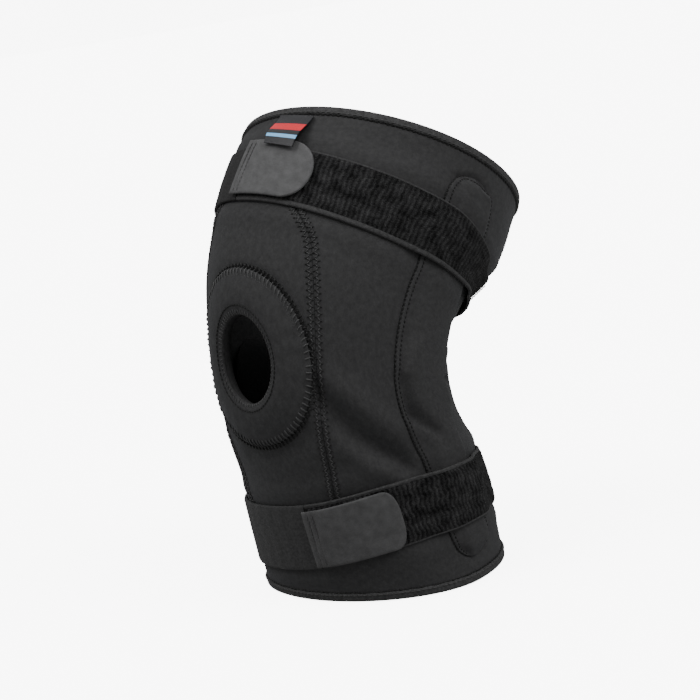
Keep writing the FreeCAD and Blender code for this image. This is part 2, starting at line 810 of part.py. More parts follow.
def make_cap(name, bar, body, placement):
    """A soft vinyl cap over a bar's end, hollow to fit it."""
    block = doc.addObject("Part::Box", f"{name}_block")
    block.setExpression("Length", "Sizes.bar_thickness + 2 * Sizes.cap_wall")
    block.setExpression("Width", "Sizes.bar_width + 2 * Sizes.cap_wall")
    block.setExpression("Height", "Sizes.cap_length")
    lean, start = size(f"{bar}_bend_angle"), size(f"{bar}_bend_start")
    run = size(f"{bar}_bar_length") + 1 - start
    inner = size("washer_thickness") / 2
    inner = inner if bar == "upper" else -inner - size("bar_thickness")
    end = Vector(inner + run * math.tan(math.radians(lean)), 0, start + run)
    corner = Vector(-size("cap_wall"), -size("bar_width") / 2 - size("cap_wall"), -size("cap_length"))
    tilt = Rotation(Vector(0, 1, 0), lean)
    block.Placement = placement * Placement(end + tilt.multVec(corner), tilt)
    cap = doc.addObject("Part::Cut", name)
    cap.Base = block
    cap.Tool = body
    return keep(cap, name)


def make_hinge(side):
    """One side hinge: two bars, pivot rivet, washer, stop pin and bar end caps."""
    down = hinge_place(side, 180 + size("lower_bar_lean"))
    up = hinge_place(side, -size("bend_angle"))
    lower = make_bar("lower", side, down)
    upper = make_bar("upper", side, up)
    make_cap(f"lower_bar_cap_{side}", "lower", lower, down)
    make_cap(f"upper_bar_cap_{side}", "upper", upper, up)
    low, high = ("-(washer_thickness / 2 + bar_thickness)", "washer_thickness / 2 + bar_thickness")
    turned(
        f"pivot_rivet_{side}",
        [
            (f"{low} - rivet_head", "0"),
            (f"{low} - rivet_head", "rivet_head_radius - rivet_head"),
            (low, "rivet_head_radius"),
            (low, "rivet_radius"),
            (f"{high} + running_gap", "rivet_radius"),
            (f"{high} + running_gap", "rivet_head_radius"),
            (f"{high} + running_gap + rivet_head", "rivet_head_radius - rivet_head"),
            (f"{high} + running_gap + rivet_head", "0"),
        ],
        down,
    )
    turned(
        f"pivot_washer_{side}",
        [
            ("-washer_thickness / 2", "rivet_radius"),
            ("washer_thickness / 2 - running_gap", "rivet_radius"),
            ("washer_thickness / 2 - running_gap", "washer_radius"),
            ("-washer_thickness / 2", "washer_radius"),
        ],
        down,
    )
    pin = doc.addObject("Part::Cylinder", f"stop_pin_{side}")
    pin.setExpression("Radius", "Sizes.stop_pin_radius")
    pin.setExpression("Height", "Sizes.washer_thickness + 2 * Sizes.bar_thickness")
    half = size("washer_thickness") / 2 + size("bar_thickness")
    along_axis = Placement(Vector(-half, 0, size("stop_pin_arm")), Rotation(Vector(0, 1, 0), 90))
    pin.Placement = up * along_axis
    keep(pin, f"stop_pin_{side}")


def make_condyle_pad(side):
    """A round foam pad inside the sleeve, behind the hinge head."""
    sign = SIDES[side]
    reach = size("condyle_radius") + size("condyle_thickness")

    def at(depth):
        def point(u, v):
            level = reach * (2 * u - 1)
            angle = angle_behind(level, reach * (2 * v - 1))
            inside = -room(level, "in") - size("pressed_panel") - size("strap_gap")
            return bent(leg_point(level, sign * angle, inside - depth))

        return point

    plate = slab(at(0), at(size("condyle_thickness")), 15, 15)
    cutter = Part.makeCylinder(size("condyle_radius"), size("knee_width"), Vector(), Vector(sign, 0, 0))
    feature(f"condyle_pad_{side}", plate.common(cutter), CALF)


# ---------------------------------------------------------------- the whole brace

make_sleeve()
make_patella()
for hinge_side in SIDES:
    make_pocket(hinge_side)
    make_hinge(hinge_side)
    make_condyle_pad(hinge_side)
make_binding("bottom_binding", "calf_rim", CALF, -1)
make_binding("top_binding", "thigh_rim", THIGH, 1)
make_strap("calf", CALF)
make_strap("thigh", THIGH)
make_label()
doc.recompute()

failed = [item.Label for item in doc.Objects if {"Invalid", "Error"} & set(item.State)]
failed += [
    item.Label
    for item in PARTS
    if item.Shape.isNull() or not item.Shape.isValid() or not item.Shape.Solids or item.Shape.Volume <= 0
]
if failed:
    raise RuntimeError(f"no valid solid: {', '.join(failed)}")

os.makedirs("parts", exist_ok=True)
for item in PARTS:
    item.Shape.exportStep(f"parts/{item.Label}.step")
print(len(PARTS), "sub-parts")
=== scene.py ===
import math

import bmesh
import bpy
import numpy as np
from mathutils import Matrix, Vector


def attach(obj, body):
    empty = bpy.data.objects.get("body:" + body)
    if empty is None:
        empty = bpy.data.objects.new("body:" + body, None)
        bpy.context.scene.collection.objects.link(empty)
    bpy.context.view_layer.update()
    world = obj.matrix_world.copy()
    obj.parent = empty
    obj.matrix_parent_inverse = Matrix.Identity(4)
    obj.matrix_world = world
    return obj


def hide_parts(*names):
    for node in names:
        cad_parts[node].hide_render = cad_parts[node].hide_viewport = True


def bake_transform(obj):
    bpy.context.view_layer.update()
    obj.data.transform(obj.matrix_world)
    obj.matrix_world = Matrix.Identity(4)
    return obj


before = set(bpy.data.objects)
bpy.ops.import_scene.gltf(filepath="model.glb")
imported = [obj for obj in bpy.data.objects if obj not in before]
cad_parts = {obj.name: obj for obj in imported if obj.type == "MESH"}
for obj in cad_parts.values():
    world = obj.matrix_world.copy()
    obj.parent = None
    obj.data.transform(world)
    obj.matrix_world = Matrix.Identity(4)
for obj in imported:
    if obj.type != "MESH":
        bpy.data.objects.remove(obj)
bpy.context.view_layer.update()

MM = 0.001
KNEE = np.array([0.0, -27.0, 124.0])
BEND = 33.0
BEND_REACH = 58.0
NEOPRENE = 4.0
RIB = 2.7

# level, half width, depth to the front and to the back of the knee axis
LEG = np.array([
    (-124, 74.0, 38.0, 92.0),
    (-77, 71.5, 48.0, 88.5),
    (-38, 69.0, 55.0, 77.5),
    (0, 68.5, 67.0, 69.5),
    (47, 72.0, 90.5, 55.0),
    (94, 79.5, 90.0, 88.0),
    (134, 80.0, 81.5, 96.0),
])
RIM_LOW, RIM_HIGH = LEG[0, 0], LEG[-1, 0]
# stands for every girth where an angle is turned into a length
GIRTH_RADIUS = 76.0
SIDES = {"lateral": 1, "medial": -1}


# ---------------------------------------------------------------- the leg form


def ramp(x):
    x = np.clip(x, 0, 1)
    return x * x * (3 - 2 * x)


def curve(x, y, at):
    """Smooth curve through points, straight beyond them."""
    x, y, at = np.asarray(x, float), np.asarray(y, float), np.asarray(at, float)
    steps = np.diff(x)
    slopes = np.diff(y) / steps
    share = steps[1:] / (steps[:-1] + steps[1:])
    tangents = np.concatenate([slopes[:1], slopes[:-1] * share + slopes[1:] * (1 - share), slopes[-1:]])
    i = np.clip(np.searchsorted(x, at, side="left") - 1, 0, len(steps) - 1)
    h = steps[i]
    u = (at - x[i]) / h
    return (
        y[i] * (1 + 2 * u) * (1 - u) ** 2
        + y[i + 1] * u * u * (3 - 2 * u)
        + h * (tangents[i] * u * (1 - u) ** 2 - tangents[i + 1] * u * u * (1 - u))
    )


def along(column, level):
    return curve(LEG[:, 0], LEG[:, column], level)


def form(level, angle, out=0.0, bridge=None):
    """Points of the straight leg form, moved out from it."""
    level, angle, out = np.broadcast_arrays(*[np.asarray(a, float) for a in (level, angle, out)])
    turn = np.radians(angle)
    front, back = along(2, level), along(3, level)
    if bridge is not None:
        back = np.maximum(back, along(3, bridge))
    middle = (back - front) / 4
    depth = np.where(np.cos(turn) > 0, front + middle, back - middle)
    return np.stack([
        (along(1, level) + out) * np.sin(turn),
        middle - (depth + out) * np.cos(turn),
        level,
    ], -1)


def bend_turn(level):
    return BEND * ramp((np.asarray(level, float) + BEND_REACH) / (2 * BEND_REACH))


def skin(level, angle, out=0.0, bridge=None):
    """The same points with the leg bent, in the row frame, in metres."""
    p = form(level, angle, out, bridge)
    turn = -np.radians(bend_turn(p[..., 2]))
    y = p[..., 1] * np.cos(turn) - p[..., 2] * np.sin(turn)
    z = p[..., 1] * np.sin(turn) + p[..., 2] * np.cos(turn)
    return (np.stack([p[..., 0], y, z], -1) + KNEE) * MM


def arc(angle):
    """Rough length along the leg's girth for an angle."""
    return np.radians(angle) * GIRTH_RADIUS


def turn_for(length):
    """Angle that takes up a length along the girth."""
    return np.degrees(length / GIRTH_RADIUS)


def signed(angle):
    """Angles from -180 to 180."""
    return (np.asarray(angle, float) + 180) % 360 - 180


# ---------------------------------------------------------------- where the straps run

# the middle line of each strap as (angle, level)
STRAP_MIDDLES = {
    "thigh": [(-135, 88), (-90, 97), (-55, 97), (0, 89), (40, 82), (75, 77), (115, 68), (180, 78)],
    "calf": [(-90, -87.5), (-30, -85.5), (10, -81.5), (50, -73.5), (90, -70.5), (130, -74), (180, -84)],
}


def strap_middle(strap, angle):
    points = np.array(STRAP_MIDDLES[strap], float)
    points = np.concatenate([points - (360, 0), points, points + (360, 0)])
    return curve(points[:, 0], points[:, 1], signed(angle))


def strap_edges(strap, angle):
    """Levels of a strap's lower and upper edge. The thigh strap is pinched together at the lateral back."""
    if strap == "thigh":
        half = 17.5 - 7.2 * np.exp(-((signed(angle - 122) / 30) ** 2))
    else:
        half = 18.8 + 1.8 * np.cos(np.radians(angle + 45))
    middle = strap_middle(strap, angle)
    return middle - half, middle + half


def pressed(level, angle):
    """1 under a strap, and a little bulge of the sleeve beside it as the second value."""
    under, bulge = 0.0, 0.0
    for strap in STRAP_MIDDLES:
        low, high = strap_edges(strap, angle)
        outside = np.maximum(low - level, level - high)
        under = np.maximum(under, ramp(1 - (outside + 2.0) / 5.0))
        bulge = np.maximum(bulge, np.exp(-(((outside - 8.0) / 5.0) ** 2)))
    return under, bulge


# ---------------------------------------------------------------- hinge pockets

POCKET_TOP, POCKET_BOTTOM = 116.5, -109.0
POCKET_HALF = 19.5
POCKET_LEAD = 4.0
POCKET_ROUND = 17.0
BAR_LEAN = math.tan(math.radians(10.5))
# how far the hinge pushes the sleeve in and the cover out, along the bars and at the hinge's head
ROOM_INWARD, ROOM_OUTWARD = (3.8, 5.0), (2.2, 3.8)
# thickness of the panel where the hinge presses it
PRESSED_PANEL = 2.8


def bar_line(level):
    """How far behind the straight leg's middle the hinge bars lie."""
    level = np.asarray(level, float)
    up = level * np.sin(np.radians(BEND - bend_turn(level)))
    down = -level * (BAR_LEAN + np.sin(np.radians(bend_turn(level))))
    return np.where(level > 0, up, down)


def angle_behind(level, distance):
    """Angle on the lateral side of a point of the form that far behind the straight leg's middle."""
    front, back = along(2, level), along(3, level)
    middle = (back - front) / 4
    depth = np.where(distance < middle, front + middle, back - middle)
    return np.degrees(np.arccos(np.clip((middle - distance) / depth, -1, 1)))


def pocket_front(level):
    """Angle of the pocket cover's front seam."""
    points = [(-110, 77), (-50, 73.5), (-10, 70), (45, 75), (118, 73)]
    return curve([p[0] for p in points], [p[1] for p in points], level)


def pocket_edges(level):
    """Front and back angle of a pocket cover, its ends rounded."""
    front, back = pocket_front(level), angle_behind(level, bar_line(level) - POCKET_LEAD + POCKET_HALF)
    near = np.clip(np.minimum(POCKET_TOP - level, level - POCKET_BOTTOM) / POCKET_ROUND, 0, 1)
    half = (back - front) / 2 * np.sqrt(np.clip(1 - (1 - near) ** 2.2, 0, 1))
    middle = (front + back) / 2
    return middle - half, middle + half


def in_pocket(level, angle):
    """1 where the bars lie flat under the cover, fading to 0 at the cover's sewn edges."""
    level, angle = np.broadcast_arrays(np.asarray(level, float), np.abs(signed(angle)))
    y = form(level, angle)[..., 1]
    left, right = pocket_edges(level)
    front, back = form(level, left)[..., 1], form(level, right)[..., 1]
    bar = bar_line(level)
    need = 8.6 + 6.2 * ramp((22 - np.abs(level)) / 10)
    rise = np.where(
        y < bar,
        ramp((y - front - 1.5) / np.maximum(bar - need - front - 1.5, 2.5)),
        ramp((back - 1.5 - y) / np.maximum(back - 1.5 - bar - need, 2.5)),
    )
    ends = np.minimum(POCKET_TOP - level, level - POCKET_BOTTOM) - 1.5
    return rise * ramp(ends / 6.0)


def room(level, rest, head):
    """Room that the hinge takes: rest along the bars, more towards its head."""
    return rest + (head - rest) * (1 - ramp(np.abs(level) / 80.0))


def folds(level, angle):
    """Soft folds of the cloth, in and out, in millimetres."""
    level, angle = np.broadcast_arrays(np.asarray(level, float), signed(angle))
    x = arc(angle)
    out = np.zeros(level.shape)
    for depth, width, points in FOLDS:
        out -= depth * np.exp(-((away(level, x, points) / width) ** 2))
    waves = (
        0.30 * np.sin(0.061 * x + 0.043 * level + 1.1)
        + 0.22 * np.sin(0.037 * x - 0.089 * level + 2.3)
        + 0.16 * np.sin(0.13 * x + 0.071 * level + 0.4)
    )
    quiet = ramp((level - RIM_LOW - 4) / 12) * ramp((RIM_HIGH - 4 - level) / 12)
    under, bulge = pressed(level, angle)
    return (out + waves) * quiet * (1 - under) + 0.8 * bulge * (1 - under) * quiet - 0.35 * under


def away(level, x, points):
    """Distance to a line through (level, angle) points, on the unrolled sleeve."""
    best = np.full(level.shape, 1e9)
    line = [(p[0], float(arc(p[1]))) for p in points]
    for (l0, x0), (l1, x1) in zip(line[:-1], line[1:]):
        dl, dx = l1 - l0, x1 - x0
        t = np.clip(((level - l0) * dl + (x - x0) * dx) / (dl * dl + dx * dx), 0, 1)
        best = np.minimum(best, np.hypot(level - l0 - t * dl, x - x0 - t * dx))
    return best


# depth, width, and the valley's line as (level, angle): what the half-bent knee does to the cloth
FOLDS = [
    (5.6, 6.6, [(-10, 33), (-27, 45), (-45, 63)]),
    (-2.4, 7.5, [(-7, 38), (-12, 49), (-27, 65)]),
    (-1.4, 6.0, [(-34, 36), (-42, 44), (-48, 52)]),
    (4.2, 3.4, [(-3, 74), (-20, 75), (-31, 86)]),
    (3.4, 3.6, [(0.5, 124), (0, 117), (-1, 110)]),
    (-1.2, 5.0, [(-9, 100), (-16, 108)]),
    (-1.2, 5.0, [(-34, 96), (-50, 100)]),
    (1.3, 4.5, [(-35, -20), (-35, 0), (-31, 14), (-25, 22)]),
    (1.5, 4.5, [(25, 128), (13, 118), (9, 112)]),
    (3.0, 4.2, [(14, 150), (11, 172), (9, 180)]),
    (3.0, 4.2, [(9, -180), (15, -164), (9, -146)]),
    (2.4, 4.5, [(-8, 140), (-12, 166), (-14, 180)]),
    (2.4, 4.5, [(-14, -180), (-7, -170), (-14, -138)]),
    (2.0, 4.0, [(34, 158), (36, 180), (33, 180)]),
    (2.0, 4.0, [(33, -180), (33, -156)]),
    (1.8, 5.0, [(-31, 150), (-34, 178), (-30, 180)]),
    (1.8, 5.0, [(-30, -180), (-30, -152)]),
    (5.0, 6.8, [(-16, -48), (-30, -61), (-44, -80)]),
    (2.4, 3.8, [(2, -122), (-1, -116), (-2, -110)]),
    (1.4, 5.0, [(-24, -84), (-31, -92)]),
    (0.8, 9.0, [(112, 40), (117, 62)]),
    (0.7, 8.0, [(50, 52), (36, 60)]),
    (2.2, 1.9, [(112, 77), (117, 85), (113, 92)]),
    (-1.0, 6.0, [(106, 84), (96, 88)]),
    (1.6, 1.9, [(-101, 80), (-110, 90), (-108, 101)]),
]


# ---------------------------------------------------------------- materials


def feed(tree, item, inputs):
    """Sets a node's inputs. Each is a constant, or the (node, output) that is linked to it."""
    for key, value in inputs.items():
        if isinstance(value, tuple) and isinstance(value[0], bpy.types.Node):
            tree.links.new(value[0].outputs[value[1]], item.inputs[key])
        else:
            item.inputs[key].default_value = value


def node(tree, kind, inputs=None, **settings):
    item = tree.nodes.new(kind)
    for key, value in settings.items():
        setattr(item, key, value)
    feed(tree, item, inputs or {})
    return item


def grey(level):
    return (level, level, level * 1.015)


def material(name, colour, rough, sheen=0.0, metallic=0.0, specular=0.35):
    """A new material, its node tree and its shader."""
    made = bpy.data.materials.new(name)
    made.use_nodes = True
    tree = made.node_tree
    shader = tree.nodes["Principled BSDF"]
    feed(tree, shader, {
        "Base Color": (*colour, 1), "Roughness": rough, "Metallic": metallic,
        "Specular IOR Level": specular, "Sheen Weight": sheen, "Sheen Roughness": 0.5,
    })
    return made, tree, shader


def unrolled(tree):
    """Texture space over the unrolled cloth, in centimetres."""
    return node(tree, "ShaderNodeUVMap", uv_map="cloth"), "UV"


def within(tree):
    """Texture space inside the piece, in metres."""
    return node(tree, "ShaderNodeTexCoord"), "Object"


def tint(tree, source, dark, light, low=0.35, high=0.65):
    """Base colour between two greys, by a texture."""
    colours = node(tree, "ShaderNodeValToRGB", {"Fac": source})
    for stop, position, level in zip(colours.color_ramp.elements, (low, high), (dark, light)):
        stop.position = position
        stop.color = (*grey(level), 1)
    feed(tree, tree.nodes["Principled BSDF"], {"Base Color": (colours, "Color")})


def bumps(tree, *layers):
    """Bump nodes one after another: each layer is a texture, its strength and its depth in millimetres."""
    linked = {}
    for source, strength, depth in layers:
        inputs = {"Height": source, "Strength": strength, "Distance": depth * MM}
        linked = {"Normal": (node(tree, "ShaderNodeBump", {**inputs, **linked}), "Normal")}
    feed(tree, tree.nodes["Principled BSDF"], linked)


def noise(tree, space, scale, detail=2.0, rough=0.5):
    inputs = {"Vector": space, "Scale": scale, "Detail": detail, "Roughness": rough}
    return node(tree, "ShaderNodeTexNoise", inputs), "Fac"


def wave(tree, space, scale, direction="X", distort=0.0):
    inputs = {"Vector": space, "Scale": scale, "Distortion": distort, "Detail": 2.0, "Detail Scale": 2.0}
    return node(tree, "ShaderNodeTexWave", inputs, wave_type="BANDS", bands_direction=direction), "Fac"


def cells(tree, space, scale, randomness=1.0):
    inputs = {"Vector": space, "Scale": scale, "Randomness": randomness}
    return node(tree, "ShaderNodeTexVoronoi", inputs, feature="F1"), "Distance"


def math_of(tree, operation, *values):
    return node(tree, "ShaderNodeMath", dict(enumerate(values)), operation=operation), "Value"


def between(tree, source, low, high):
    """A texture brought to a range."""
    return node(tree, "ShaderNodeMapRange", {"Value": source, "To Min": low, "To Max": high}), "Result"


def neoprene_material(name, dark, light, sheen=0.03):
    """Nylon jersey on foam rubber: a fine knit, faint mottling and a soft sheen."""
    made, tree, shader = material(name, grey(light), 0.82, sheen, specular=0.09)
    space = unrolled(tree)
    mottle = noise(tree, space, 3.2, 5.0, 0.65)
    pits = noise(tree, space, 16.0, 3.0, 0.6)
    tint(tree, mottle, dark, light, 0.3, 0.7)
    bumps(tree, (mottle, 0.35, 0.5), (pits, 0.45, 0.16), (wave(tree, space, 4.6, "X", 1.0), 0.22, 0.06))
    feed(tree, shader, {"Sheen Tint": (0.75, 0.78, 0.85, 1), "Roughness": between(tree, pits, 0.72, 0.92)})
    return made


def pile_material():
    """Unbrushed loop pile: tiny tangled loops, matt and nearly black."""
    made, tree, _ = material("loop_pile", grey(0.004), 0.95, 0.02, specular=0.03)
    space = unrolled(tree)
    tangle = noise(tree, space, 13.0, 6.0, 0.7)
    waves_per_rib = 2 * math.pi / (20 * RIB * 0.1)
    # the colour is darker between the ribs, at the ribs' own pitch: painted shade in the rib valleys
    rib_valley_shade = between(tree, wave(tree, space, waves_per_rib), 0.66, 1.0)
    tangle_and_rib_shade = math_of(tree, "MULTIPLY", tangle, rib_valley_shade)
    mottle_and_rib_shade = math_of(tree, "MULTIPLY", tangle_and_rib_shade, noise(tree, space, 1.6, 3.0, 0.6))
    tint(tree, mottle_and_rib_shade, 0.003, 0.040, 0.12, 0.42)
    bumps(tree, (tangle, 0.9, 0.7), (cells(tree, space, 11.0), 0.8, 0.45))
    return made


def woven_material(name, dark, light, cords, picks, rough=0.75):
    """Narrow woven tape or elastic: cords along it and picks across it."""
    made, tree, _ = material(name, grey(light), rough, 0.02, specular=0.1)
    space = unrolled(tree)
    mottle = noise(tree, space, 5.0, 5.0, 0.6)
    tint(tree, mottle, dark, light, 0.3, 0.7)
    warp, weft = wave(tree, space, cords, "Y", 0.4), wave(tree, space, picks, "X", 0.6)
    bumps(tree, (warp, 0.5, 0.12), (weft, 0.4, 0.12), (mottle, 0.3, 0.2))
    return made


def felt_material(name, dark, light):
    """Brushed backing cloth of the hook tabs."""
    made, tree, _ = material(name, grey(light), 0.88, 0.03, specular=0.09)
    space = unrolled(tree)
    fuzz, cloud = noise(tree, space, 18.0, 6.0, 0.8), noise(tree, space, 2.2, 3.0, 0.5)
    mixed = math_of(tree, "MULTIPLY_ADD", fuzz, 0.7, math_of(tree, "MULTIPLY", cloud, 0.3))
    tint(tree, mixed, dark, light, 0.38, 0.62)
    bumps(tree, (fuzz, 0.55, 0.22), (cloud, 0.25, 0.3))
    return made


def hook_material():
    """Moulded hook facing: rows of tiny hooks."""
    made, tree, _ = material("hook_facing", grey(0.008), 0.5, specular=0.2)
    hooks = cells(tree, unrolled(tree), 9.0, 0.35)
    tint(tree, hooks, 0.03, 0.006, 0.1, 0.6)
    bumps(tree, (hooks, 0.9, 0.6))
    return made


def thread_material(name, level):
    """Twisted polyester thread."""
    made, tree, _ = material(name, grey(level), 0.6, 0.02, specular=0.2)
    bumps(tree, (noise(tree, within(tree), 2500.0), 0.5, 0.1))
    return made


def steel_material(name, level, rough):
    """Brushed steel, the brushing along the bar."""
    made, tree, shader = material(name, grey(level), rough, metallic=1.0, specular=0.5)
    stretched = node(tree, "ShaderNodeMapping", {"Vector": within(tree), "Scale": (400, 900, 12)})
    lines = noise(tree, (stretched, "Vector"), 1.0, 3.0, 0.6)
    feed(tree, shader, {"Roughness": between(tree, lines, rough * 0.7, rough * 1.4)})
    bumps(tree, (lines, 0.2, 0.02))
    return made


def moulded_material(name, colour, rough):
    """Moulded plastic or dipped vinyl, with a faint orange peel."""
    made, tree, _ = material(name, colour, rough, specular=0.45)
    bumps(tree, (noise(tree, within(tree), 900.0), 0.25, 0.05))
    return made


def label_material():
    """Black satin tape with one plain red and one plain pale blue woven stripe."""
    made, tree, shader = material("label_satin", grey(0.006), 0.42, 0.02, specular=0.2)
    space = unrolled(tree)
    place = node(tree, "ShaderNodeSeparateXYZ", {"Vector": space})
    height = math_of(tree, "MULTIPLY", (place, "Y"), 0.5)
    colours = node(tree, "ShaderNodeValToRGB", {"Fac": height})
    black, red, blue = (0.012, 0.012, 0.014, 1), (0.50, 0.014, 0.022, 1), (0.16, 0.38, 0.62, 1)
    stops = colours.color_ramp.elements
    colours.color_ramp.interpolation = "CONSTANT"
    stops[0].position, stops[0].color = 0.0, black
    stops[1].position, stops[1].color = 0.19, blue
    for position, colour in ((0.29, black), (0.43, red), (0.66, black)):
        stops.new(position).color = colour
    feed(tree, shader, {"Base Color": (colours, "Color")})
    satin, weft = wave(tree, space, 9.0, "X", 0.3), wave(tree, space, 14.0, "Y", 0.3)
    bumps(tree, (satin, 0.35, 0.06), (weft, 0.3, 0.05))
    return made


MATS = {
    "neoprene": neoprene_material("neoprene_face", 0.020, 0.031),
    "lining": neoprene_material("lining_jersey", 0.020, 0.030, 0.0),
    "ring": neoprene_material("ring_face", 0.020, 0.031),
    "binding": woven_material("binding_tape", 0.017, 0.046, 5.0, 7.0),
    "elastic": woven_material("woven_elastic", 0.018, 0.036, 3.6, 9.0, 0.8),
    # the thigh strap's elastic is the calf strap's elastic made darker: painted shade
    "thigh_elastic_in_shade": woven_material("thigh_elastic_in_shade", 0.008, 0.016, 3.6, 9.0, 0.8),
    "selvedge": woven_material("selvedge", 0.020, 0.040, 6.0, 9.0),
    "pile": pile_material(),
    "tab": felt_material("tab_backing", 0.046, 0.082),
    # the calf tab's backing is the thigh tab's felt made darker: painted shade
    "calf_tab_in_shade": felt_material("calf_tab_backing_in_shade", 0.035, 0.064),
    "hooks": hook_material(),
    "pad": neoprene_material("pad_jersey", 0.009, 0.014, 0.0),
    "thread": thread_material("thread", 0.034),
    # dark thread for the pocket and tape seams, also painted shade: the needle holes and the shadow row under
    # the binding stitches
    "dark_thread_and_shade": thread_material("dark_thread_and_shade", 0.003),
    "steel": steel_material("bar_steel", 0.42, 0.36),
    "rivet": steel_material("rivet_steel", 0.55, 0.25),
    "nylon": moulded_material("nylon_washer", (0.5, 0.49, 0.45), 0.45),
    "vinyl": moulded_material("dipped_vinyl", grey(0.015), 0.38),
    "label": label_material(),
}


# ---------------------------------------------------------------- meshes


def mesh_object(name, points, faces, uvs=None, mats=("neoprene",), which=None):
    """A mesh object. uvs are one pair per point, in centimetres of cloth.

    which is a material number per face."""
    data = bpy.data.meshes.new(name)
    data.from_pydata([tuple(p) for p in points], [], [tuple(int(i) for i in f) for f in faces])
    for key in mats:
        data.materials.append(MATS[key])
    if which is not None:
        data.polygons.foreach_set("material_index", np.asarray(which, np.int32))
    if uvs is not None:
        layer = data.uv_layers.new(name="cloth")
        order = np.zeros(len(data.loops), np.int32)
        data.loops.foreach_get("vertex_index", order)
        layer.data.foreach_set("uv", np.asarray(uvs, np.float32)[order].ravel())
    data.polygons.foreach_set("use_smooth", np.full(len(data.polygons), True))
    data.update()
    item = bpy.data.objects.new(name, data)
    bpy.context.scene.collection.objects.link(item)
    return item


def quads(rows, columns, start=0, flip=False, wrap=False, close=False):
    """Faces of a grid of points. wrap joins its last column to the first, close its last row to the first."""
    faces = []
    for i in range(rows if close else rows - 1):
        here, there = start + i * columns, start + (i + 1) % rows * columns
        for j in range(columns if wrap else columns - 1):
            k = (j + 1) % columns
            a, b, c, d = here + j, here + k, there + k, there + j
            faces.append((a, d, c, b) if flip else (a, b, c, d))
    return faces


def shell(name, outer, inner, uv, mats, back=0, face=None, keep=None):
    """A closed plate between two grids.

    face is the material of each quad outside, back that of the inside, and keep says which quads stay."""
    rows, columns = outer.shape[:2]
    count = rows * columns
    points = np.concatenate([outer.reshape(-1, 3), inner.reshape(-1, 3)])
    front, behind = quads(rows, columns), quads(rows, columns, count, True)
    front_mats = np.zeros(len(front), int) if face is None else face.reshape(-1)
    kept = np.ones(len(front), bool) if keep is None else keep.reshape(-1)
    front = [f for f, k in zip(front, kept) if k]
    faces = front + [f for f, k in zip(behind, kept) if k]
    which = list(front_mats[kept]) + [back] * int(kept.sum())
    used = {edge: True for f in front for edge in zip(f, f[1:] + f[:1])}
    rims = [(a, b) for a, b in used if (b, a) not in used]
    faces += [(b, a, a + count, b + count) for a, b in rims]
    which += [back] * len(rims)
    item = mesh_object(name, points, faces, np.concatenate([uv.reshape(-1, 2)] * 2) * 0.1, mats, which)
    corners = {frozenset(e) for e in rims} | {frozenset((a + count, b + count)) for a, b in rims}
    pairs = np.zeros(len(item.data.edges) * 2, np.int32)
    item.data.edges.foreach_get("vertices", pairs)
    sharp = item.data.attributes.new("sharp_edge", "BOOLEAN", "EDGE")
    sharp.data.foreach_set("value", [frozenset(pair) in corners for pair in pairs.reshape(-1, 2).tolist()])
    if keep is not None:
        drop_loose(item)
    return item


def drop_loose(item):
    """Deletes points that no face uses."""
    work = bmesh.new()
    work.from_mesh(item.data)
    bmesh.ops.delete(work, geom=[v for v in work.verts if not v.link_faces], context="VERTS")
    work.to_mesh(item.data)
    work.free()


def spread(length, step, edge=2.0):
    """Places along a length, closer together near both ends so that an edge can round off."""
    ends = edge * np.array([0.0, 0.12, 0.3, 0.6, 1.0])
    inside = np.linspace(edge, length - edge, max(2, int(round((length - 2 * edge) / step)) + 1))
    return np.concatenate([ends[:-1], inside, length - ends[:-1][::-1]])


def dip(distance, depth, reach):
    """How far an edge rounds down: depth at the edge, nothing from reach inwards."""
    x = np.clip(1 - distance / reach, 0, 1)
    return depth * (1 - np.sqrt(1 - x * x * 0.999))


# ---------------------------------------------------------------- how pieces move


def blended(item):
    """Bakes the transform of cloth that crosses the knee into its mesh."""
    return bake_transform(item)


def curling(item, still, moving, edge, inward, reach):
    """Cloth sewn down along an edge: bakes the piece's transform into its mesh. The edge's direction and the
    way inward are worked out, and not used.
    """
    first, second = Vector(edge[0]), Vector(edge[1])
    along_edge = (second - first).normalized()
    way = Vector(inward) - first
    way = (way - along_edge * way.dot(along_edge)).normalized()
    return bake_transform(item)


def settle(item, slot, *nodes, body=None):
    """Hides the CAD nodes that a piece stands for; slot, what it is made of, is not used. It rides on a body,
    or its transform is baked in place.
    """
    if nodes:
        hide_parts(*nodes)
    if body:
        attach(item, body)
    else:
        blended(item)


# ---------------------------------------------------------------- stitching


def spaced_path(path, step):
    """Levels and angles a step apart along a line of (level, angle) points."""
    level, angle = np.array(path, float).T
    gaps = np.linalg.norm(np.diff(form(level, angle), axis=0), axis=1)
    run = np.concatenate([[0], np.cumsum(gaps)])
    at = np.linspace(0, run[-1], max(2, int(run[-1] / step) + 1))
    return np.interp(at, run, level), np.interp(at, run, angle)


def smooth_path(points, count):
    """A smooth line through (level, angle) points."""
    p = np.array(points, float)
    run = np.concatenate([[0], np.cumsum(np.hypot(np.diff(p[:, 0]), arc(np.diff(p[:, 1]))))])
    at = np.linspace(0, run[-1], count)
    ways = np.gradient(p, run, axis=0)
    i = np.clip(np.searchsorted(run, at, side="right") - 1, 0, len(run) - 2)
    h = (run[i + 1] - run[i])[:, None]
    u = ((at - run[i]) / h[:, 0])[:, None]
    return (
        p[i] * (1 + 2 * u) * (1 - u) ** 2
        + p[i + 1] * u * u * (3 - 2 * u)
        + h * (ways[i] * u * (1 - u) ** 2 - ways[i + 1] * u * u * (1 - u))
    )


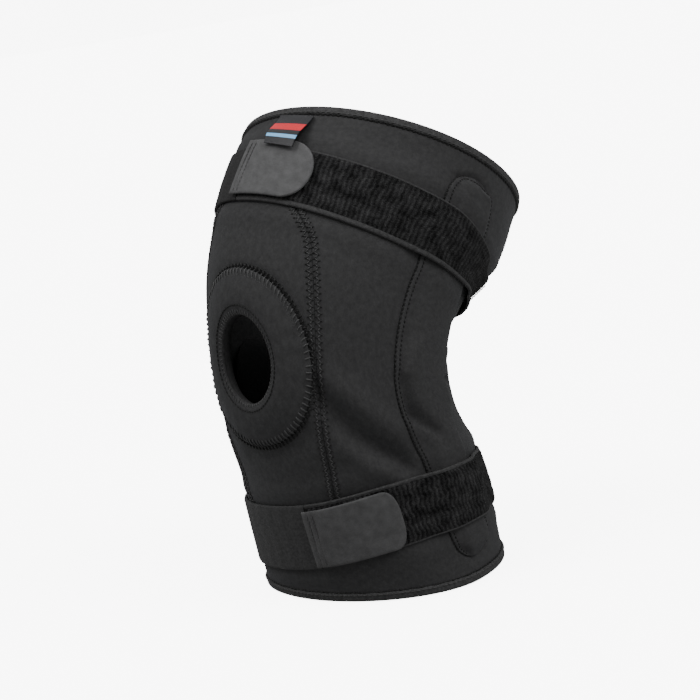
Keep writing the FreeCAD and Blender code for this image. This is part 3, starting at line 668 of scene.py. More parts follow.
def tubes(name, lines, radius, mat, sides=6):
    """One mesh of round threads along lines of points in metres, their ends closed."""
    points, faces = [], []
    ring = np.linspace(0, 2 * math.pi, sides, endpoint=False)[:, None]
    for line in np.asarray(lines):
        way = np.gradient(line, axis=0)
        way /= np.linalg.norm(way, axis=1, keepdims=True) + 1e-12
        side = np.cross(way, np.array([0.31, 0.52, 0.79]))
        side /= np.linalg.norm(side, axis=1, keepdims=True) + 1e-12
        other = np.cross(way, side)
        start = len(points)
        for middle, s, o in zip(line, side, other):
            points.extend(middle + radius * MM * (s * np.cos(ring) + o * np.sin(ring)))
        faces += quads(len(line), sides, start, wrap=True)
        last = start + (len(line) - 1) * sides
        faces += [tuple(range(start, start + sides)), tuple(reversed(range(last, last + sides)))]
    return mesh_object(name, points, faces, None, (mat,))


def on_cloth(level, angle, height, surface, bridge=None):
    return skin(level, angle, surface(level, angle) + height, bridge)


def across(level, angle):
    """Unit step across a path, as (level, angle) per millimetre."""
    dl, dx = np.gradient(level), np.gradient(arc(angle))
    size = np.hypot(dl, dx) + 1e-9
    return -dx / size, turn_for(dl / size)


def zigzag(name, path, pitch, swing, surface, radius):
    """A zigzag thread, swung to each side once a pitch."""
    level, angle = spaced_path(path, pitch / 6)
    al, aa = across(level, angle)
    phase = np.arange(len(level)) / 6.0
    swing_at = swing * (2 * np.abs(2 * (phase % 1) - 1) - 1)
    lift = 0.12 + 0.22 * (1 - np.abs(swing_at / swing) ** 4)
    line = on_cloth(level + al * swing_at, angle + aa * swing_at, lift, surface)
    return tubes(name, [line], radius, "thread")


def needle_hole_shade(name, path, pitch, swing, surface):
    """Painted shade in the puckered needle holes at a zigzag's turns: short dark tubes half sunk into the
    cloth.
    """
    level, angle = spaced_path(path, pitch / 6)
    al, aa = across(level, angle)
    lines = []
    for k in range(3, len(level) - 3, 3):
        reach = np.array([0.8, 1.35, 1.9]) * swing * (1 if k % 6 == 0 else -1)
        height = np.array([-0.3, 0.05, -0.3])
        lines.append(on_cloth(level[k] + al[k] * reach, angle[k] + aa[k] * reach, height, surface))
    return tubes(name, lines, 0.62, "dark_thread_and_shade")


def dashes(name, path, pitch, length, surface, radius, mat="thread", slant=0.0, bridge=None, height=0.3):
    """A row of stitches, each diving into the cloth at both ends, turned across the row by slant degrees."""
    step = 0.5
    dense_level, dense_angle = spaced_path(path, step)
    al, aa = across(dense_level, dense_angle)
    position = np.arange(len(dense_level))
    share = np.array([-0.5, -0.42, -0.2, 0.0, 0.2, 0.42, 0.5])
    rise = np.array([-0.5, 0.0, 0.85, 1.0, 0.85, 0.0, -0.5]) * height
    lines = []
    for k in range(int((len(dense_level) - 1) * step / pitch)):
        at = share * length * math.cos(math.radians(slant)) / step + (k + 0.5) * pitch / step
        over = share * length * math.sin(math.radians(slant))
        level = np.interp(at, position, dense_level) + np.interp(at, position, al) * over
        angle = np.interp(at, position, dense_angle) + np.interp(at, position, aa) * over
        lines.append(on_cloth(level, angle, rise, surface, bridge))
    return tubes(name, lines, radius, mat)


# ---------------------------------------------------------------- sleeve

FRONT_SEAM = smooth_path([
    (-124, 19.5), (-75, 21.5), (-40, 26.5), (0, 32.5), (25, 34), (50, 30), (75, 16.5), (134, 10),
], 400)
FRONT_MIDDLE = -6.0
BACK_SEAM = 135.0
# the padded ring and the kneecap opening: level and angle of the middle, half height and half angle
RING, HOLE = (3.7, -6.4, 33.7, 36.8), (4.0, -4.8, 16.6, 16.2)


def panel_edges(panel, level):
    """Angles that a panel lies between, the two sides of the brace alike."""
    seam = np.interp(level, FRONT_SEAM[:, 0], FRONT_SEAM[:, 1])
    other, back = 2 * FRONT_MIDDLE - seam, np.full_like(seam, BACK_SEAM)
    return {
        "front": (other, seam),
        "lateral": (seam, back),
        "back": (back, 360 - back),
        "medial": (360 - back, 360 + other),
    }[panel]


def seam_groove(level, angle):
    """How far the stitched seams pull the cloth down. The front ones end under the straps."""
    other, seam = panel_edges("front", level)
    angle = signed(angle)
    front = np.minimum(np.abs(arc(angle - seam)), np.abs(arc(angle - other)))
    shown = ramp((level + 80) / 8) * ramp((88 - level) / 8)
    return dip(front, 0.75, 2.0) * shown + dip(np.abs(arc(np.abs(angle) - BACK_SEAM)), 0.7, 2.2)


def oval_share(oval, level, angle):
    """0 at an oval's middle, 1 on its edge."""
    middle_level, middle_angle, half_level, half_angle = oval
    return np.hypot((level - middle_level) / half_level, (signed(angle) - middle_angle) / half_angle)


def oval_path(oval, further, turn):
    """Levels and angles round an oval, some millimetres further out."""
    middle_level, middle_angle, half_level, half_angle = oval
    level = middle_level + (half_level + further) * np.sin(turn)
    return level, middle_angle + (half_angle + further * 0.85) * np.cos(turn)


def row_round(oval, further):
    return np.stack(oval_path(oval, further, np.linspace(0, 2 * math.pi, 260)), -1)


def sleeve_out(level, angle):
    """The sleeve's outer face over the leg form."""
    level, angle = np.broadcast_arrays(np.asarray(level, float), np.asarray(angle, float))
    beside_ring = (oval_share(RING, level, angle) - 1) * 35.0
    pulled = seam_groove(level, angle) + np.exp(-(((beside_ring - 0.6) / 2.2) ** 2))
    return folds(level, angle) - pulled - room(level, *ROOM_INWARD) * in_pocket(level, angle)


def sleeve_in(level, angle):
    share = in_pocket(level, angle)
    pressed_in = room(level, *ROOM_INWARD) + PRESSED_PANEL
    return (folds(level, angle) - NEOPRENE) * (1 - share) - pressed_in * share


def make_panel(panel):
    step = 1.6
    level = RIM_LOW + 1.5 + spread(RIM_HIGH - RIM_LOW - 3.0, step)
    left, right = panel_edges(panel, level)
    wide = float(arc(right - left).max())
    share = spread(wide, step if panel != "back" else 2.0, 2.4) / wide
    angle = left[:, None] + (right - left)[:, None] * share[None, :]
    grid = np.broadcast_to(level[:, None], angle.shape)
    outer, inner = skin(grid, angle, sleeve_out(grid, angle)), skin(grid, angle, sleeve_in(grid, angle))
    keep = None
    if panel == "front":
        middle_level = (grid[:-1, :-1] + grid[1:, 1:]) / 2
        middle_angle = (angle[:-1, :-1] + angle[1:, 1:]) / 2
        keep = oval_share(RING, middle_level, middle_angle) > 0.82
    uv = np.stack([arc(angle), grid], -1)
    item = shell(f"{panel}_panel", outer, inner, uv, ("neoprene", "lining"), back=1, keep=keep)
    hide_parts(*[f"{panel}_panel_{zone}" for zone in ("calf", "knee", "thigh")])
    blended(item)


def make_seams():
    """Two rows of zigzag along both front seams, and one along each back seam."""
    shown = FRONT_SEAM[(FRONT_SEAM[:, 0] > -76) & (FRONT_SEAM[:, 0] < 84)]
    for side in ("lateral", "medial"):
        for row, shift in (("inner", -2.4), ("outer", 2.4)):
            path = shown + (0, turn_for(shift))
            if side == "medial":
                path[:, 1] = 2 * FRONT_MIDDLE - path[:, 1]
            name = f"front_seam_{side}_{row}"
            settle(zigzag(name, path, 2.9, 0.95, sleeve_out, 0.36), "neoprene")
            # dark tubes at each zigzag's turns: painted shade in the needle holes
            settle(needle_hole_shade(f"{name}_hole_shade", path, 2.9, 0.95, sleeve_out), "neoprene")
    for side, angle in (("lateral", BACK_SEAM), ("medial", 360 - BACK_SEAM)):
        path = [(level, angle) for level in np.linspace(-118, 128, 60)]
        settle(zigzag(f"back_seam_{side}", path, 3.2, 1.7, sleeve_out, 0.3), "neoprene")


# ---------------------------------------------------------------- kneecap ring


def ring_out(level, angle):
    """The padded ring's outer face: crowned, and pulled down at its outer seam."""
    hole = oval_share(HOLE, level, angle)
    u = np.clip((hole - 1) / np.maximum(hole - oval_share(RING, level, angle), 0.05), 0, 1)
    crown = 4.0 * np.sqrt(np.clip(np.sin(math.pi * np.clip(u * 0.93 + 0.04, 0, 1)), 0, 1))
    pulled = 0.18 * np.sin(np.arctan2(signed(angle) - RING[1], level - RING[0]) * 23) * u * u
    return folds(level, angle) * 0.6 + crown + pulled - 0.5


def near_ring(level, angle):
    return np.where(oval_share(RING, level, angle) < 1.0, np.maximum(ring_out(level, angle), 0.0), -0.3)


def hole_lip(level, angle):
    """The top of the tape rolled over the opening's edge."""
    x = np.clip(((oval_share(HOLE, level, angle) - 1) * HOLE[2] - 0.9) / 1.3, -1, 1)
    return 0.4 + 1.45 * np.sqrt(1 - x * x * 0.98) + folds(level, angle) * 0.6


def beside_tape(level, angle):
    return ring_out(level, angle) + 0.05


def make_ring():
    """The padded ring, crowned, with its sewn outer edge."""
    count, steps = 240, 22
    turn = np.linspace(0, 2 * math.pi, count, endpoint=False)
    share = (np.linspace(0, 1, steps) ** 0.9)[:, None]
    ovals = zip(oval_path(HOLE, 0, turn), oval_path(RING, 0, turn))
    level, angle = [near + (far - near) * share for near, far in ovals]
    under = -NEOPRENE - 0.3 + folds(level, angle) * 0.6
    outer, inner = skin(level, angle, ring_out(level, angle)), skin(level, angle, under)
    faces = quads(2 * steps, count, wrap=True, close=True)
    facing = (steps - 1) * count
    uv = np.stack([arc(angle), level], -1)
    item = mesh_object(
        "kneecap_ring", np.concatenate([outer, inner[::-1]]).reshape(-1, 3), faces,
        np.concatenate([uv, uv[::-1]]).reshape(-1, 2) * 0.1, ("ring", "lining"),
        [0] * facing + [1] * (len(faces) - facing),
    )
    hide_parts("patella_pad")
    blended(item)
    for name, length, radius, mat, further in (
        ("ring_edge_stitches", 3.6, 0.45, "thread", -1.0),
        # a dark row just outside the ring's stitches: painted shade in the needle holes
        ("ring_edge_hole_shade", 1.5, 0.62, "dark_thread_and_shade", 1.3),
    ):
        row = row_round(RING, further)
        settle(dashes(name, row, 2.7, length, near_ring, radius, mat, slant=78, height=0.5), "ring_pad")


def make_hole_edge():
    """The tape rolled over the opening's edge, its overlock stitches and its seam."""
    turn = np.linspace(0, 2 * math.pi, 240, endpoint=False)
    loop = np.linspace(0, 2 * math.pi, 18, endpoint=False)[:, None]
    level, angle = oval_path(HOLE, 0.9 + 1.25 * np.cos(loop), turn)
    points = skin(level, angle, 0.4 + 1.5 * np.sin(loop) + folds(level, angle) * 0.6)
    uv = np.stack(np.broadcast_arrays(turn * 20, loop * 1.5), -1)
    faces = quads(len(loop), len(turn), wrap=True, close=True)
    item = mesh_object(
        "kneecap_binding", points.reshape(-1, 3), faces, uv.reshape(-1, 2) * 0.1, ("elastic",)
    )
    settle(item, "binding", "patella_binding")
    row = row_round(HOLE, 1.1)
    item = dashes("kneecap_binding_stitches", row, 1.9, 2.6, hole_lip, 0.3, slant=70, height=0.35)
    settle(item, "binding")
    row = row_round(HOLE, 2.7)
    item = dashes("kneecap_binding_seam", row, 1.9, 1.2, beside_tape, 0.4, "dark_thread_and_shade", height=0.2)
    settle(item, "binding")


# ---------------------------------------------------------------- hinge pockets


def pocket_out(level, angle):
    """The cover's outer face: it rises over the bars and is sewn down at its edges."""
    level, angle = np.broadcast_arrays(np.asarray(level, float), np.abs(signed(angle)))
    left, right = pocket_edges(level)
    edge = np.minimum(np.minimum(arc(angle - left), arc(right - angle)), 50)
    rise = room(level, *ROOM_OUTWARD) * in_pocket(level, angle)
    return 1.55 + rise - dip(np.maximum(edge, 0), 1.2, 1.8)


def sleeve_edge(level, angle):
    """Where a cover's cut edge meets the sleeve."""
    return folds(level, angle) + 0.45


def make_pocket(side):
    sign = SIDES[side]

    def surface(level, angle):
        return pocket_out(level, angle) + folds(level, sign * np.abs(signed(angle))) * 0.8

    body = np.linspace(POCKET_BOTTOM + POCKET_ROUND, POCKET_TOP - POCKET_ROUND, 110)
    cap = POCKET_ROUND * (1 - np.cos(np.linspace(0, math.pi / 2, 16)))[:-1]
    level = np.concatenate([POCKET_BOTTOM + 0.02 + cap, body, (POCKET_TOP - 0.02 - cap)[::-1]])
    left, right = pocket_edges(level)
    wide = 42.0
    share = spread(wide, 1.5) / wide
    angle = left[:, None] + (right - left)[:, None] * share
    grid = np.broadcast_to(level[:, None], angle.shape)
    out = surface(grid, angle)
    outer, inner = skin(grid, sign * angle, out), skin(grid, sign * angle, out - 1.25)
    if sign < 0:
        outer, inner = outer[:, ::-1], inner[:, ::-1]
    uv = np.stack([arc(angle), grid], -1)
    item = shell(f"{side}_pocket_cover", outer, inner, uv, ("neoprene", "lining"), back=1)
    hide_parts(f"hinge_pocket_{side}")
    blended(item)
    level = np.linspace(POCKET_BOTTOM + 0.6, POCKET_TOP - 0.6, 300)
    left, right = pocket_edges(level)
    for name, inset, end, length, under, radius in (
        ("stitches", turn_for(2.6), 2.4, 1.2, surface, 0.42),
        ("edge", 0.0, 0.0, 1.5, sleeve_edge, 0.5),
    ):
        path = np.concatenate([
            np.stack([level, sign * (left + inset)], -1),
            np.stack([level, sign * (right - inset)], -1)[::-1],
        ])
        path = path[(path[:, 0] > POCKET_BOTTOM + end) & (path[:, 0] < POCKET_TOP - end)]
        row = dashes(f"{side}_pocket_{name}", path, 2.3, length, under, radius, "dark_thread_and_shade")
        settle(row, "pocket_cover")


# ---------------------------------------------------------------- bindings


def make_binding(name, rim, sign):
    """A tape folded over a rim, with its row of stitches. sign is 1 at the top."""
    section = []
    for t in np.linspace(0, 1, 5):
        section.append((5.6 - 4.6 * t, 0.95 + 0.12 * math.sin(math.pi * t)))
    for t in np.linspace(0, math.pi, 11)[1:-1]:
        section.append((1.0 - 0.95 * math.sin(t), -2.0 + 3.0 * math.cos(t)))
    for t in np.linspace(0, 1, 5):
        section.append((1.0 + 4.4 * t, -4.95 - 0.1 * math.sin(math.pi * t)))
    for t in np.linspace(0, 1, 4)[1:]:
        section.append((5.4 - 2.6 * t, -4.3))
    for t in np.linspace(0, 1, 4):
        section.append((2.8 + 2.8 * t, 0.2))
    section = np.array(section)
    angle = np.linspace(0, 360, 320, endpoint=False)
    down, out = section[:, :1], section[:, 1:]
    level = rim - sign * down + sign * 0.12 * np.sin(np.radians(angle) * 37) * (down > 4)
    angle = np.broadcast_to(angle, level.shape)
    run = np.concatenate([[0], np.cumsum(np.hypot(*np.diff(section, axis=0).T))])[:, None]
    uv = np.stack(np.broadcast_arrays(arc(angle), run), -1).reshape(-1, 2) * 0.1
    faces = quads(*level.shape, flip=sign > 0, wrap=True, close=True)
    body = "thigh" if sign > 0 else "calf"
    item = mesh_object(name, skin(level, angle, out).reshape(-1, 3), faces, uv, ("binding",))
    settle(item, "binding", name, body=body)
    for row, inset, length, out, radius, mat, height in (
        ("stitches", 4.5, 2.3, 1.0, 0.32, "thread", 0.28),
        ("shadow_row", 6.0, 1.9, 0.0, 0.5, "dark_thread_and_shade", 0.25),
    ):
        path = [(rim - sign * inset, a) for a in np.linspace(0, 360, 400)]
        at = dashes(f"{name}_{row}", path, 3.1, length, lambda level, angle: out, radius, mat, height=height)
        settle(at, "binding", body=body)


# ---------------------------------------------------------------- straps

# loop and tab are the angles between which each lies, and bridge the level whose back depth the strap keeps
STRAPS = {
    "thigh": {"bridge": 64.0, "loop": (-12.0, 142.0), "tab": (-15.2, 22.8), "width": 35.0},
    "calf": {"bridge": None, "loop": (7.0, 142.0), "tab": (6.0, 52.5), "width": 38.0},
}
STRAP_GAP, STRAP_THICK = 0.6, 2.2


def strap_rests():
    """Height over the leg form that each strap rests at, for every degree: it lies over the pocket covers."""
    degrees = np.arange(-180, 181.0)
    near = np.exp(-((np.arange(-12, 13) / 4.0) ** 2))
    near /= near.sum()
    rests = {}
    for strap in STRAPS:
        low, high = strap_edges(strap, degrees)
        level = low + (high - low) * np.linspace(0, 1, 24)[:, None]
        left, right = pocket_edges(level)
        turn = np.broadcast_to(np.abs(degrees), level.shape)
        covered = (turn > left - 1.5) & (turn < right + 1.5)
        height = np.where(covered, np.maximum(pocket_out(level, turn), 1.5), 0.0).max(0)
        wide = np.array([height[np.arange(i - 4, i + 5) % 361].max() for i in range(361)])
        wrapped = np.concatenate([wide[-13:-1], wide, wide[1:13]])
        rests[strap] = (degrees, np.convolve(wrapped, near, "valid") + STRAP_GAP)
    return rests


RESTS = strap_rests()


def under_strap(strap, angle):
    """Height of a strap's inner face over the leg form."""
    return np.interp(signed(angle), *RESTS[strap])


def strap_grid(strap, start, end, step, across_step):
    """Levels and angles over a stretch of strap, and the distances along and across it."""
    length, width = float(arc(end - start)), STRAPS[strap]["width"]
    run, side = spread(length, step, 1.4), spread(width, across_step, 1.0)[:, None]
    angle = np.broadcast_to(start + (end - start) * run / length, (len(side), len(run)))
    low, high = strap_edges(strap, angle)
    return low + (high - low) * side / width, angle, *np.broadcast_arrays(run, side)


def strap_piece(strap, part, slot, level, angle, top, uv, mats, **more):
    """A band between the strap's inner face and a top surface."""
    bridge, under = STRAPS[strap]["bridge"], under_strap(strap, angle)
    outer, inner = skin(level, angle, under + top, bridge), skin(level, angle, under, bridge)
    settle(shell(f"{strap}_{part}", outer, inner, uv, mats, **more), slot, f"{strap}_strap_{part}")


def wander(run, side, amount):
    """How far the ribs stray along the band."""
    return amount * (
        np.sin(side * 0.21 + run * 0.05) + 0.7 * np.sin(side * 0.55 + run * 0.11 + 1.0)
        + 0.45 * np.sin(side * 1.1 - run * 0.31 + 2.0)
    )


def ribs(counted, run, side, strong):
    """Pile pushed into uneven ribs across the band, which are counted along it."""
    ridge = np.abs(np.sin(math.pi * counted / RIB))
    clumps = 0.5 + 0.5 * np.sin(side * 2.3 + 2.1 * np.sin(run * 0.9)) * np.sin(run * 1.7 + side * 0.37)
    uneven = 0.7 + 0.3 * np.sin(run * 0.19 + 1.3 * np.sin(side * 0.31)) * np.sin(side * 0.43 + run * 0.07)
    return 0.62 * strong * uneven * ridge ** 0.9 + 0.45 * clumps


def make_loop_band(strap):
    """Ribbed loop pile between two smooth selvedges."""
    level, angle, run, side = strap_grid(strap, *STRAPS[strap]["loop"], 0.6, 0.9)
    width = STRAPS[strap]["width"]
    if strap == "thigh":
        low_edge, high_edge = 2.6, width - 1.2
        counted, strong = run + wander(run, side, 0.35), 0.9 - 0.65 * ramp((run - 40) / 60)
    else:
        low_edge, high_edge = 0.9, width - 1.9
        counted, strong = run * 0.82 + wander(run, side, 0.6), 1.1
    in_pile = ramp((side - low_edge) / 0.9) * ramp((high_edge - side) / 0.9)
    top = STRAP_THICK - 0.7 + in_pile * (ribs(counted, run, side, strong) - 0.45)
    top -= dip(np.minimum(side, width - side), 0.7, 1.0)
    top -= 0.5 * (np.exp(-(((side - low_edge) / 0.5) ** 2)) + np.exp(-(((high_edge - side) / 0.5) ** 2)))
    middle = (side[:-1, :-1] + side[1:, 1:]) / 2
    face = np.where((middle < low_edge) | (middle > high_edge), 1, 0)
    uv = np.stack([counted, side], -1)
    strap_piece(strap, "loop_band", "loop_band", level, angle, top, uv, ("pile", "selvedge"), back=1, face=face)


def make_elastic(strap):
    """Smooth woven elastic behind and on the medial side."""
    loop_start, loop_end = STRAPS[strap]["loop"]
    level, angle, run, side = strap_grid(strap, loop_end + 0.3, 360 + loop_start - 0.3, 1.3, 1.0)
    cords = 0.10 * np.cos(side * 2 * math.pi / 2.4)
    stretch = 0.12 * np.sin(run * 0.55 + 0.6 * np.sin(side * 0.3))
    edge = np.minimum(side, STRAPS[strap]["width"] - side)
    top = STRAP_THICK - 0.5 + cords + stretch - dip(edge, 0.9, 1.0)
    # the thigh strap takes the darker copy of the elastic: painted shade
    mat = "elastic" if strap == "calf" else "thigh_elastic_in_shade"
    strap_piece(strap, "elastic", "elastic", level, angle, top, np.stack([run, side], -1), (mat,))


def make_join(strap):
    """The sewn joint of elastic and loop band behind: two rows of stitches."""

    def on_top(level, angle):
        return under_strap(strap, angle) + STRAP_THICK

    for row, shift in enumerate((-2.2, 2.2)):
        angle = STRAPS[strap]["loop"][1] + turn_for(shift)
        low, high = [float(edge) for edge in strap_edges(strap, angle)]
        path = [(level, angle) for level in np.linspace(low + 2, high - 2, 30)]
        name = f"{strap}_joint_stitches_{row}"
        settle(dashes(name, path, 2.6, 2.0, on_top, 0.3, bridge=STRAPS[strap]["bridge"]), "elastic")


# how far each tab lies above its strap's middle line
TAB_SHIFT = {"thigh": 3.0, "calf": -1.0}
TAB_WIDTH, TAB_LIFT, HOOK_THICK, TAB_THICK = 35.0, 0.35, 0.9, 1.3
TAB_ROWS = (3.6, 7.0)


def make_tab(strap):
    """A hook tab with a rounded end, two sewn rows at its fixed end and the hook facing under it."""
    bridge, (start, end) = STRAPS[strap]["bridge"], STRAPS[strap]["tab"]
    round_x, power, slant = (15.0, 2.1, 2.6) if strap == "thigh" else (11.0, 2.7, 0.3)
    length = float(arc(end - start))
    side, run = spread(TAB_WIDTH, 1.0, 1.2)[:, None], spread(length, 1.0, 1.6)
    off = np.abs(2 * side / TAB_WIDTH - 1)
    begin = arc(slant) * side / TAB_WIDTH
    stop = length - round_x * (1 - (1 - off ** power * 0.999) ** (1 / power))
    x = begin + run * ((stop - begin) / length)

    def at(share, angle):
        """Level of a point that share of the way across the tab."""
        return strap_middle(strap, angle) + TAB_SHIFT[strap] + TAB_WIDTH * (share - 0.5)

    def spot(inset):
        """Levels and angles of the tab, drawn in towards its middle, and the height of its under face."""
        angle = start + (end - start) * (x * (1 - inset) + inset * length / 2) / length
        level = at(0.5 + (side / TAB_WIDTH - 0.5) * (1 - inset), angle)
        return level, angle, under_strap(strap, angle) + STRAP_THICK + TAB_LIFT

    level, angle, under = spot(0.0)
    edge = np.minimum(np.minimum(side, TAB_WIDTH - side), np.minimum(x - begin, stop - x))
    sewn = sum(0.55 * np.exp(-(((x - begin - row) / 0.7) ** 2)) for row in TAB_ROWS)
    puffed = 0.3 * np.sin(x * 0.21 + 0.7) * np.sin(side * 0.17 + 0.3)
    top = under + HOOK_THICK + TAB_THICK - sewn + puffed * ramp(edge / 5) - dip(edge, 0.75, 1.4)
    uv = np.stack(np.broadcast_arrays(x, side), -1)
    flat = skin(level, angle, under, bridge)
    hinge = (strap, f"{strap}_tab", (flat[0, 0], flat[-1, 0]), flat[0, 12], 0.009)
    # the calf tab takes the darker copy of the felt: painted shade
    mat = "tab" if strap == "thigh" else "calf_tab_in_shade"
    outer, inner = skin(level, angle, top, bridge), skin(level, angle, under + HOOK_THICK, bridge)
    cloth = shell(f"{strap}_tab", outer, inner, uv, (mat,))
    level, angle, under = spot(0.03)
    outer, inner = skin(level, angle, under + HOOK_THICK - 0.02, bridge), skin(level, angle, under, bridge)
    hooks = shell(f"{strap}_hooks", outer, inner, uv, ("hooks",))
    for item, part, slot in ((cloth, "tab", "tab"), (hooks, "hooks", "hooks")):
        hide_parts(f"{strap}_strap_{part}")
        curling(item, *hinge)

    def on_top(level, angle):
        return under_strap(strap, angle) + STRAP_THICK + TAB_LIFT + HOOK_THICK + TAB_THICK - 0.5

    share = np.linspace(0.04, 0.96, 30)
    for row, distance in enumerate(TAB_ROWS):
        angle = start + slant * share + (end - start) * distance / length
        path = np.stack([at(share, angle), angle], -1)
        item = dashes(f"{strap}_tab_stitches_{row}", path, 2.4, 1.9, on_top, 0.3, bridge=bridge)
        curling(item, *hinge)


# ---------------------------------------------------------------- label


def make_label():
    """A tape folded in two and sewn in under the upper binding, lifting off the strap at its fold."""
    wide, fold, half_tape = 23.5, 0.62, 0.12
    across_it, steps = np.linspace(0, 1, 26), np.linspace(0, 1, 22)[:, None]
    bottom_level, bottom_angle = 106.0 - 3.8 * across_it, -0.8 + 13.6 * across_it
    level = bottom_level + (127.9 - 1.5 * across_it - bottom_level) * (1 - steps)
    angle = (-3.2 + 16.6 * across_it) * (1 - steps) + bottom_angle * steps
    lift = 1.0 + 6.2 * ramp(steps * 1.25) + 0.9 * across_it ** 3 * np.sin(steps * 2.4)
    turn = np.linspace(0, math.pi, 9)[1:-1, None]
    turned_level = bottom_level - fold * 0.5 * np.sin(turn)
    turned_out = lift[-1] + fold / 2 + fold / 2 * np.cos(turn)
    turned_angle = np.broadcast_to(bottom_angle, turned_level.shape)
    grid = np.concatenate([level, turned_level, level[::-1]])
    out = np.concatenate([lift + fold, turned_out, lift[::-1]])
    angles = np.concatenate([angle, turned_angle, angle[::-1]])
    surface, beneath = skin(grid, angles, out + half_tape), skin(grid, angles, out - half_tape)
    run = np.concatenate([(1 - steps) * 19.0, turn * 0, -(1 - steps[::-1]) * 19.0 - 2])
    uv = np.stack(np.broadcast_arrays(across_it * wide, run), -1)
    item = shell("folded_label", surface, beneath, uv, ("label",))
    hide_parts("side_label")
    curling(item, "thigh", "label", (surface[0, 0], surface[0, -1]), surface[6, 0], 0.005)


# ---------------------------------------------------------------- inside and hardware


def make_condyle_pad(side):
    """A soft round pad inside the sleeve, behind the hinge head."""
    sign = SIDES[side]
    count, steps, reach = 72, 12, 23.6
    turn = np.linspace(0, 2 * math.pi, count, endpoint=False)
    radius = reach * np.sin(np.linspace(0.02, math.pi / 2, steps))[:, None]
    level, y = radius * np.sin(turn), radius * np.cos(turn)
    angle = sign * angle_behind(level, y)
    base = -room(level, *ROOM_INWARD) - PRESSED_PANEL - 0.9
    puff = 3.822 * np.sqrt(np.clip(1 - (radius / (reach + 0.4)) ** 4, 0, 1))
    points = np.concatenate([skin(level, angle, base - puff), skin(level, angle, base)[::-1]])
    faces = quads(2 * steps, count, flip=sign > 0, wrap=True)
    for start, turned in ((0, sign > 0), ((2 * steps - 1) * count, sign < 0)):
        end_face = tuple(range(start, start + count))
        faces.append(end_face if turned else end_face[::-1])
    uv = np.stack([y, level], -1)
    uv = np.concatenate([uv, uv[::-1]]).reshape(-1, 2) * 0.1
    item = mesh_object(f"{side}_condyle_pad", points.reshape(-1, 3), faces, uv, ("pad",))
    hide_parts(f"condyle_pad_{side}")
    blended(item)


def finish_hardware():
    """Materials of the CAD nodes that stay."""
    finishes = {"bar_cap": "vinyl", "bar": "steel", "rivet": "rivet", "washer": "nylon", "stop_pin": "rivet"}
    for name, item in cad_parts.items():
        for word, mat in finishes.items():
            if word in name:
                item.data.materials.clear()
                item.data.materials.append(MATS[mat])
                break


# ---------------------------------------------------------------- stage


def linked(name, data):
    item = bpy.data.objects.new(name, data)
    bpy.context.scene.collection.objects.link(item)
    return item


def make_floor():
    """A pale floor that looks white and throws little light back at the brace."""
    size = 40.0
    data = bpy.data.meshes.new("floor")
    corners = [(-size, -size, 0), (size, -size, 0), (size, size, 0), (-size, size, 0)]
    data.from_pydata(corners, [], [(0, 1, 2, 3)])
    paint, tree, shader = material("floor_white", (0.9, 0.9, 0.9), 0.95, specular=0.05)
    shine = node(tree, "ShaderNodeEmission", {"Strength": 7.0})
    seen = node(tree, "ShaderNodeAddShader", {0: (shader, "BSDF"), 1: (shine, "Emission")})
    dull = node(tree, "ShaderNodeBsdfDiffuse", {"Color": (0.35, 0.35, 0.35, 1)})
    to_camera = (node(tree, "ShaderNodeLightPath"), "Is Camera Ray")
    either = node(tree, "ShaderNodeMixShader", {0: to_camera, 1: (dull, "BSDF"), 2: (seen, "Shader")})
    feed(tree, tree.nodes["Material Output"], {"Surface": (either, "Shader")})
    data.materials.append(paint)
    floor = linked("floor", data)
    floor.location = (0, 0, -0.0003)


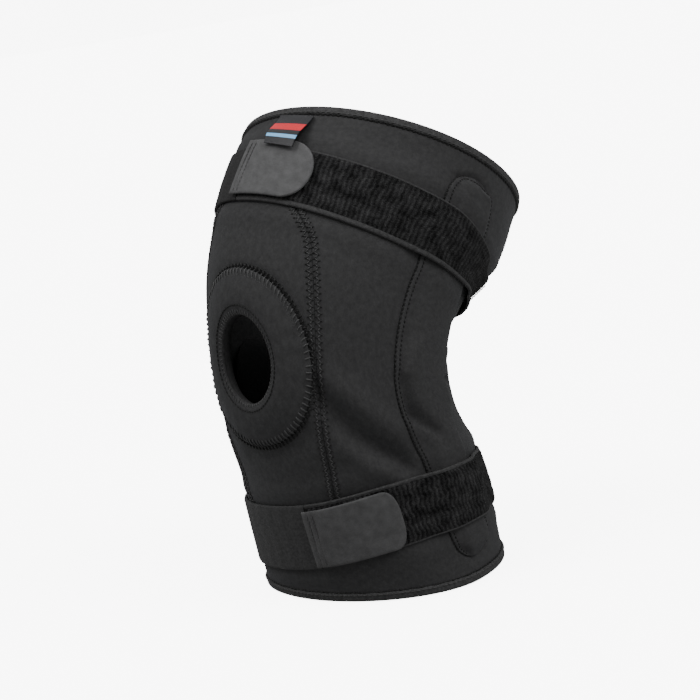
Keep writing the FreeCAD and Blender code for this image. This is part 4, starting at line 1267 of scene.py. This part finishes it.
def make_light():
    """A soft dome, seen white, and two wide suns."""
    world = bpy.data.worlds.new("studio")
    world.use_nodes = True
    tree = world.node_tree
    parts = node(tree, "ShaderNodeSeparateXYZ", {"Vector": (node(tree, "ShaderNodeTexCoord"), "Generated")})
    inputs = {"Value": (parts, "Z"), "From Min": 0.0, "From Max": 0.9, "To Min": 0.42, "To Max": 0.8}
    dome = (node(tree, "ShaderNodeMapRange", inputs), "Result")
    to_camera = (node(tree, "ShaderNodeLightPath"), "Is Camera Ray")
    either = node(tree, "ShaderNodeMix", {"Factor": to_camera, "A": dome, "B": 8.2})
    feed(tree, tree.nodes["Background"], {"Color": (1, 1, 1, 1), "Strength": (either, "Result")})
    bpy.context.scene.world = world
    for name, place, strength, wide in (
        ("key", (-0.35, -0.75, 1.5), 2.5, 35),
        ("fill", (1.25, 0.05, 1.1), 2.2, 40),
    ):
        lamp = bpy.data.lights.new(name, "SUN")
        lamp.energy = strength
        lamp.angle = math.radians(wide)
        item = linked(name, lamp)
        item.rotation_mode = "QUATERNION"
        item.rotation_quaternion = (-Vector(place)).to_track_quat("-Z", "Y")


def make_camera():
    """The view from the front lateral side, a little above, and tilted."""
    distance = 1.205
    azimuth, elevation, roll = [math.radians(a) for a in (40.57, 10.42, 9.28)]
    level = Vector((math.cos(azimuth), math.sin(azimuth), 0))
    ahead = Vector((math.sin(azimuth), -math.cos(azimuth), 0))
    back = ahead * math.cos(elevation) + Vector((0, 0, math.sin(elevation)))
    upright = back.cross(level)
    right = level * math.cos(roll) - upright * math.sin(roll)
    up = level * math.sin(roll) + upright * math.cos(roll)
    lens = bpy.data.cameras.new("camera")
    lens.sensor_width, lens.lens = 36.0, 106.8
    lens.shift_x, lens.shift_y = 0.0276, 0.0384
    lens.clip_start, lens.clip_end = 0.05, 50
    camera = linked("camera", lens)
    turn = Matrix((right, up, back)).transposed()
    camera.matrix_world = Matrix.Translation(Vector(KNEE * MM) + back * distance) @ turn.to_4x4()
    bpy.context.scene.camera = camera


# ---------------------------------------------------------------- the whole brace

for panel_name in ("front", "lateral", "back", "medial"):
    make_panel(panel_name)
make_seams()
make_ring()
make_hole_edge()
for side_name in SIDES:
    make_pocket(side_name)
    make_condyle_pad(side_name)
make_binding("bottom_binding", RIM_LOW, -1)
make_binding("top_binding", RIM_HIGH, 1)
for strap_name in STRAPS:
    make_loop_band(strap_name)
    make_elastic(strap_name)
    make_join(strap_name)
    make_tab(strap_name)
make_label()
finish_hardware()
make_floor()
make_light()
make_camera()
